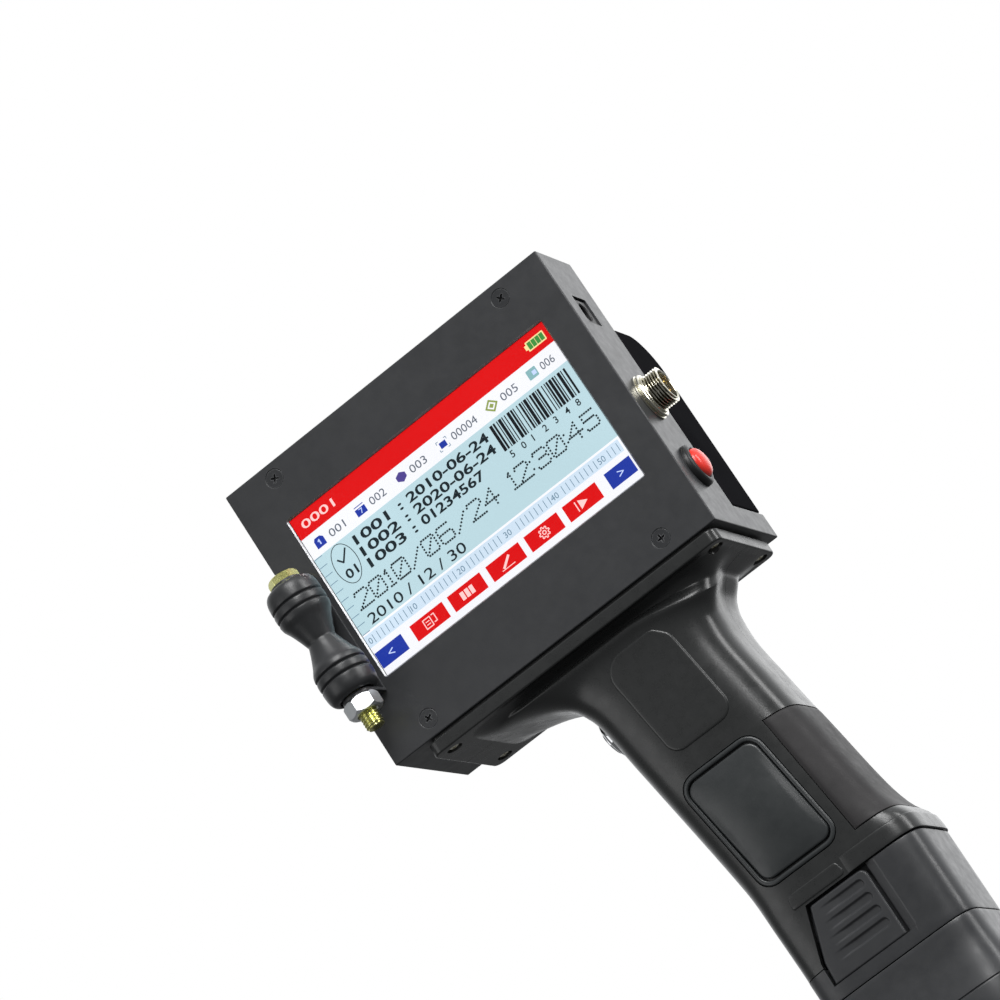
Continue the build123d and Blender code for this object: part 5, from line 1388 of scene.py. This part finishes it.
EDGE = ((0.0, 0.55), (0.08, 0.3), (0.25, 0.12), (0.55, 0.02), (0.9, 0.0))
BEAD = [(0.0, -1.25), (0.0, -0.25), (0.08, 0.02), (0.3, 0.18), (0.75, 0.26), (1.15, 0.18), (1.4, 0.0), (1.48, -0.3), (1.48, -1.25)]
for s, nm in ((-1, "front"), (1, "rear")):
    pad = patch(PAD, s, 0.22, -1.2, edge=EDGE, rings=12, crown=1.2)
    bead = band(RIDGE, BEAD, s)
    piece("grip_soft_pad_" + nm, join(pad, bead), M["soft"], stands=("grip_pad_" + nm,), angle=50)

strap = wrap(strap_zs, strap_x, 0.12, -1.35, 70, 0.0, 0.35)
piece("grip_rubber_strap", strap, M["strap"], stands=("grip_back_strap",), angle=40)

fs = join(*[screw_head((x, y, -4.7), (0, 0, -1), 2.15, 1.5, "pan", 6.4, 1.2, 0.4 + 0.7 * k) for k, (x, y) in enumerate([(x, y) for x in (16.2, 113.6) for y in (5.6, 43.4)])])
piece("flange_screws", fs, M["nickel"], stands=("grip_flange_screws",))
gs = join(*[screw_head((x, OY + 18.2, z), (0, 1, 0), 2.35, 1.6, "pan", 28.0, 1.25, 0.3 + k) for k, (x, z) in enumerate(((60.5, -15.4), (91.0, -25.6)))])
piece("grip_case_screws", gs, M["black_steel"], stands=("grip_shell_screws",))

tb = lathe([(4.32, 1.15), (4.5, 1.45), (4.9, 1.62), (5.6, 1.62), (6.3, 1.4), (6.8, 0.95), (7.0, 0.35), (7.0, 0.02), (5.95, 0.0), (5.95, -10.4), (4.32, -10.4)], TO, TAX, 80, closed=True)
piece("trigger_ring", tb, M["chrome"], stands=("trigger_bezel",))
tc = lathe([(0, 2.2), (1.6, 2.24), (2.8, 2.38), (3.5, 2.5), (3.95, 2.35), (4.18, 1.95), (4.22, 1.4), (4.22, -3.9), (4.0, -4.0), (0, -4.0)], TO, TAX, 64)
piece("trigger_button", tc, M["chrome"], body="trigger_plunger", stands=("trigger_cap",))


# ------------------------------------------------------------------ the battery
bat = hermite_table([(-103.85, 63.9, 116.4, 18.6, 6.0), (-115.0, 63.9, 116.4, 18.6, 6.0), (-131.2, 63.9, 116.4, 18.6, 6.0)])


def bat_ring(z, n=144, off=0.0):
    xf, xb, hw, p = bat(z)
    return super_ring(xf, xb, hw, p, n, off)


bz = [-103.85, -104.05, -104.4, -106, -110, -115, -120, -125, -129, -130.7, -131.05, -131.15]
bo = [-0.35, -0.12, 0, 0, 0, 0, 0, 0, 0, 0, -0.1, -0.3]
lower = loft([bat_ring(z, 144, o) for z, o in zip(bz, bo)], bz)
lower = cut(lower, prism([(50, -90), (77.9, -90), (77.9, SEAM), (72.3, -119.7), (72.0, LIP - 0.3), (50, LIP - 0.3)], "y", -10, 60))
lean = Vector((-0.15, 0, 1)).normalized()
across = Vector((1, 0, 0.15)).normalized()


def lean_prism(z_top, w, h, r, length, top_round=0.0):
    """Rounded bar leaning with the grip, from head height z_top down by length."""
    o = Vector((77.5 + 0.15 * (-24.0 - z_top), OY, z_top))
    rings = []
    rows = [(0, -top_round), (0.15, -top_round * 0.45), (0.5, -top_round * 0.12), (1.0, 0)] if top_round else [(0, 0)]
    rows += [(length, 0)]
    verts, faces = [], []
    n = None
    for d, off in rows:
        out = rrect(w + 2 * off, h + 2 * off, r + off, 8)
        n = len(out)
        for p, q in out:
            verts.append(o - lean * d + across * p + Vector((0, 1, 0)) * q)
    m = len(rows)
    faces.append(tuple(range(n)))
    faces.append(tuple(range(m * n - 1, (m - 1) * n - 1, -1)))
    for i in range(m - 1):
        for k in range(n):
            k2 = (k + 1) % n
            faces.append((i * n + k, i * n + k2, (i + 1) * n + k2, (i + 1) * n + k))
    return fix_normals(new_mesh("lean", verts, faces))


stick = cut(lean_prism(-41.0, 41.8, 31.4, 8.6, 84, 1.0), box(40, 135, -5, 60, -150, FOOT + 0.1))
case_b = union(lower, stick)
case_b = cut(case_b, lean_prism(-42.4, 38.8, 28.6, 7, 100))
TONGUE = [(78.3, -104.5), (97.5, -104.5), (97.5, -126.0), (72.6, -126.0), (72.8, -120.0)]
U_SLOT = [(77.1, -103.0), (98.4, -103.0), (98.4, -127.0), (71.5, -127.0), (71.7, -119.7)]
for s in (-1, 1):
    y0, y1 = (OY + s * 14.6, OY + s * 22)
    wedge = [(98.2, OY + s * 17.2), (101.0, OY + s * 18.62), (101.0, OY + s * 22), (98.2, OY + s * 22)]
    case_b = cut(case_b, prism(U_SLOT, "y", min(y0, y1), max(y0, y1)), fix_normals(prism(wedge, "z", -126.9, -103.0)))
piece("battery_shell", case_b, M["batt"], body="battery_pack", stands=("battery_case",), angle=35)

tongue_out = densify(round_poly(TONGUE[:2] + [(97.5, -126.95), (72.1, -126.95), (72.75, -120.0)], [1.0, 2.2, 0.4, 0.4, 0.6], 6), 1.2)
def edge_distance(x, z, outline):
    best = 1e9
    for a, b in zip(outline, outline[1:] + outline[:1]):
        dx, dz = b[0] - a[0], b[1] - a[1]
        t = max(0.0, min(1.0, ((x - a[0]) * dx + (z - a[1]) * dz) / max(dx * dx + dz * dz, 1e-12)))
        best = min(best, math.hypot(x - a[0] - t * dx, z - a[1] - t * dz))
    return best


def smooth(t):
    t = max(0.0, min(1.0, t))
    return t * t * (3 - 2 * t)


def tongue_height(x, z, outline):
    """Tongue face under the case surface: rounded rim and four scooped finger slots that deepen towards the back."""
    d = edge_distance(x, z, outline)
    h = -0.05 - 0.5 * (1 - smooth(d / 0.55)) ** 2
    for k in range(4):
        zc, xl, xr = -107.9 - 4.3 * k, 79.4 - 1.15 * k, 95.2
        r = 1.32
        px = max(xl + r, min(xr - r, x))
        q = math.hypot(x - px, z - zc) - r
        fade = smooth((x - xl) / 9.0)
        h -= 0.62 * fade * smooth((0.12 - q) / 0.42)
    return h


def relief(outline, side, height, inner_y, cols, rows, table):
    """Solid plate over a convex (x, z) outline: outer face follows the side surface plus height(x, z)."""
    top, bottom = max(p[1] for p in outline), min(p[1] for p in outline)
    n = len(outline)
    grid, verts, faces = [], [], []
    for i in range(rows + 1):
        t = i / rows
        z = top + (bottom - top) * t
        z = min(top - 1e-4, max(bottom + 1e-4, z))
        xs = []
        for k in range(n):
            a, b = outline[k], outline[(k + 1) % n]
            if (a[1] - z) * (b[1] - z) <= 0 and abs(a[1] - b[1]) > 1e-9:
                xs.append(a[0] + (b[0] - a[0]) * (z - a[1]) / (b[1] - a[1]))
        x0, x1 = min(xs), max(xs)
        row = []
        for j in range(cols + 1):
            x = x0 + (x1 - x0) * j / cols
            row.append(len(verts))
            verts.append((x, OY + side * (side_y(x, z, 0.0, table) + height(x, z, outline)), z))
        grid.append(row)
    for a, b in zip(grid, grid[1:]):
        for j in range(cols):
            faces.append((a[j], a[j + 1], b[j + 1], b[j]))
    rim = grid[0] + [g[-1] for g in grid[1:]] + list(reversed(grid[-1][:-1])) + [g[0] for g in reversed(grid[1:-1])]
    back = []
    for v in rim:
        back.append(len(verts))
        verts.append((verts[v][0], OY + side * inner_y, verts[v][2]))
    m = len(rim)
    for k in range(m):
        k2 = (k + 1) % m
        faces.append((rim[k], back[k], back[k2], rim[k2]))
    faces.append(tuple(back))
    return fix_normals(new_mesh("relief", verts, faces))


tongue_line = round_poly(TONGUE[:2] + [(97.5, -126.95), (72.1, -126.95), (72.75, -120.0)], [1.0, 2.2, 0.4, 0.4, 0.6], 4)
for s, nm in ((-1, "front"), (1, "rear")):
    plate_t = relief(tongue_line, s, tongue_height, 16.6, 96, 104, bat)
    piece("release_tongue_" + nm, plate_t, M["latch"], body="latch_" + nm, stands=("battery_latch_" + nm,), angle=60)

foot_rows = [(FOOT, 64.0, 116.35, 18.55, 6.0), (-134.0, 62.9, 116.5, 18.7, 5.9), (-137.0, 61.2, 116.6, 18.8, 5.8), (-146.0, 55.8, 117.5, 20.0, 5.4),
             (-154.0, 52.6, 118.0, 21.3, 5.2), (-158.6, 52.0, 118.0, 21.6, 5.2), (-160.0, 52.2, 117.8, 21.5, 5.2)]
foot_at = hermite_table(foot_rows)
fz = [FOOT, FOOT - 0.1, FOOT - 0.45] + zrange(-132.6, -157.6, 1.7) + [-158.6, -159.2, -159.65, -159.9, -160.0]
fo = [-0.35, -0.12, 0.0] + [0.0] * (len(fz) - 8) + [0.0, -0.12, -0.4, -0.8, -1.25]
foot = loft([super_ring(*foot_at(z), 144, o) for z, o in zip(fz, fo)], fz)
line_z = -151.2
ring = super_ring(*foot_at(line_z), 144, 0.0)
foot = cut(foot, swept([(x, y, line_z) for x, y in ring], 0.42, 8, closed=True))
foot = cut(foot, lean_prism(-100.0, 38.8, 28.6, 7, 36))
piece("battery_base", foot, M["batt"], body="battery_pack", stands=("battery_foot",), angle=40)


# -------------------------------------------------------- camera, lights, floor
def add_light(name, kind, loc, target, energy, size=1.0, size_y=None, colour=(1, 1, 1)):
    li = bpy.data.lights.new(name, kind)
    li.energy = energy
    li.color = colour
    if kind == "AREA":
        li.shape = "RECTANGLE"
        li.size = size
        li.size_y = size_y or size
    ob = bpy.data.objects.new(name, li)
    SCENE.collection.objects.link(ob)
    ob.location = loc
    ob.rotation_mode = "QUATERNION"
    ob.rotation_quaternion = (Vector(target) - Vector(loc)).to_track_quat("-Z", "Y")
    return ob


cam_data = bpy.data.cameras.new("camera")
cam = bpy.data.objects.new("camera", cam_data)
SCENE.collection.objects.link(cam)
right, down, forward = Vector((0.7613, 0.3828, -0.5234)), Vector((-0.598, 0.1024, -0.7949)), Vector((-0.2507, 0.9181, 0.3069))
rot = Matrix((right, -down, -forward)).transposed()
cam.matrix_world = Matrix.Translation(P(431.0, -1322.7, -398.0)) @ rot.to_4x4()
cam_data.lens = 180.07
cam_data.sensor_width = 36
cam_data.clip_start, cam_data.clip_end = 0.05, 50
SCENE.camera = cam

world = bpy.data.worlds.new("studio")
SCENE.world = world
world.use_nodes = True
wt = world.node_tree
bg = wt.nodes["Background"]
tex = wt.nodes.new("ShaderNodeTexCoord")
sep = wt.nodes.new("ShaderNodeSeparateXYZ")
wt.links.new(tex.outputs["Generated"], sep.inputs[0])
def wmath(op, a, b=None, clamp=False):
    n = wt.nodes.new("ShaderNodeMath")
    n.operation = op
    n.use_clamp = clamp
    for sock, v in ((0, a), (1, b)):
        if v is None:
            continue
        if isinstance(v, (int, float)):
            n.inputs[sock].default_value = v
        else:
            wt.links.new(v, n.inputs[sock])
    return n.outputs[0]


def wstep(v, a, b):
    n = wt.nodes.new("ShaderNodeMapRange")
    n.interpolation_type = "SMOOTHSTEP"
    n.inputs["From Min"].default_value = a
    n.inputs["From Max"].default_value = b
    wt.links.new(v, n.inputs["Value"])
    return n.outputs["Result"]


# bright backdrop behind and above the object, dim room in front and below
backdrop = wmath("MULTIPLY", wstep(sep.outputs["Y"], -0.1, 0.75), wstep(sep.outputs["Z"], -0.24, 0.2))
ceiling = wmath("MULTIPLY", wstep(sep.outputs["Z"], 0.2, 1.0), 0.35)
level = wmath("ADD", wmath("MULTIPLY", backdrop, 0.85), wmath("ADD", ceiling, 0.15))
grey = wt.nodes.new("ShaderNodeCombineColor")
wt.links.new(wmath("MULTIPLY", level, 0.985), grey.inputs[0])
wt.links.new(level, grey.inputs[1])
wt.links.new(wmath("MULTIPLY", level, 1.015), grey.inputs[2])
wt.links.new(grey.outputs[0], bg.inputs["Color"])
bg.inputs["Strength"].default_value = 1.0
seen = wt.nodes.new("ShaderNodeBackground")
seen.inputs["Color"].default_value = (1, 1, 1, 1)
seen.inputs["Strength"].default_value = 1.0
path = wt.nodes.new("ShaderNodeLightPath")
wm = wt.nodes.new("ShaderNodeMixShader")
wt.links.new(path.outputs["Is Camera Ray"], wm.inputs[0])
wt.links.new(bg.outputs[0], wm.inputs[1])
wt.links.new(seen.outputs[0], wm.inputs[2])
wt.links.new(wm.outputs[0], wt.nodes["World Output"].inputs["Surface"])

MIDDLE = P(60, 25, -20)
add_light("key", "AREA", MIDDLE + Vector((0.55, -1.0, 1.15)), MIDDLE, 17, 0.7, 0.7)
add_light("side", "AREA", MIDDLE + Vector((1.25, -0.15, 0.45)), MIDDLE, 10, 0.35, 1.0)
add_light("fill", "AREA", MIDDLE + Vector((-1.0, -1.1, 0.1)), MIDDLE, 3.5, 0.9, 0.9)
add_light("rim", "AREA", MIDDLE + Vector((0.34, 1.25, 0.36)), MIDDLE, 1.7, 0.8, 0.8)
add_light("sheen", "AREA", MIDDLE + Vector((0.55, -1.25, 0.62)), MIDDLE, 3.6, 0.3, 0.4)

floor_me = new_mesh("floor", [(-3, -3, 0), (3, -3, 0), (3, 3, 0), (-3, 3, 0)], [(0, 1, 2, 3)])
floor = bpy.data.objects.new("studio_floor", floor_me)
SCENE.collection.objects.link(floor)
floor.location = (0, 0, -0.0004)
fm = bpy.data.materials.new("mat_floor")
fm.use_nodes = True
ft = fm.node_tree
fb = ft.nodes["Principled BSDF"]
fb.inputs["Base Color"].default_value = rgb(226, 226, 226)
fb.inputs["Roughness"].default_value = 0.6
fn = ft.nodes.new("ShaderNodeTexNoise")
fn.inputs["Scale"].default_value = 6
fcr = ft.nodes.new("ShaderNodeMapRange")
fcr.inputs["To Min"].default_value = 0.55
fcr.inputs["To Max"].default_value = 0.7
ft.links.new(fn.outputs["Fac"], fcr.inputs["Value"])
ft.links.new(fcr.outputs["Result"], fb.inputs["Roughness"])
fg = ft.nodes.new("ShaderNodeNewGeometry")
ftr = ft.nodes.new("ShaderNodeBsdfTransparent")
fmx = ft.nodes.new("ShaderNodeMixShader")
ft.links.new(fg.outputs["Backfacing"], fmx.inputs[0])
ft.links.new(fb.outputs[0], fmx.inputs[1])
ft.links.new(ftr.outputs[0], fmx.inputs[2])
ft.links.new(fmx.outputs[0], ft.nodes["Material Output"].inputs["Surface"])
floor_me.materials.append(fm)
floor.visible_glossy = False
floor.visible_diffuse = False

SCENE.view_settings.view_transform = "Standard"
SCENE.view_settings.look = "None"
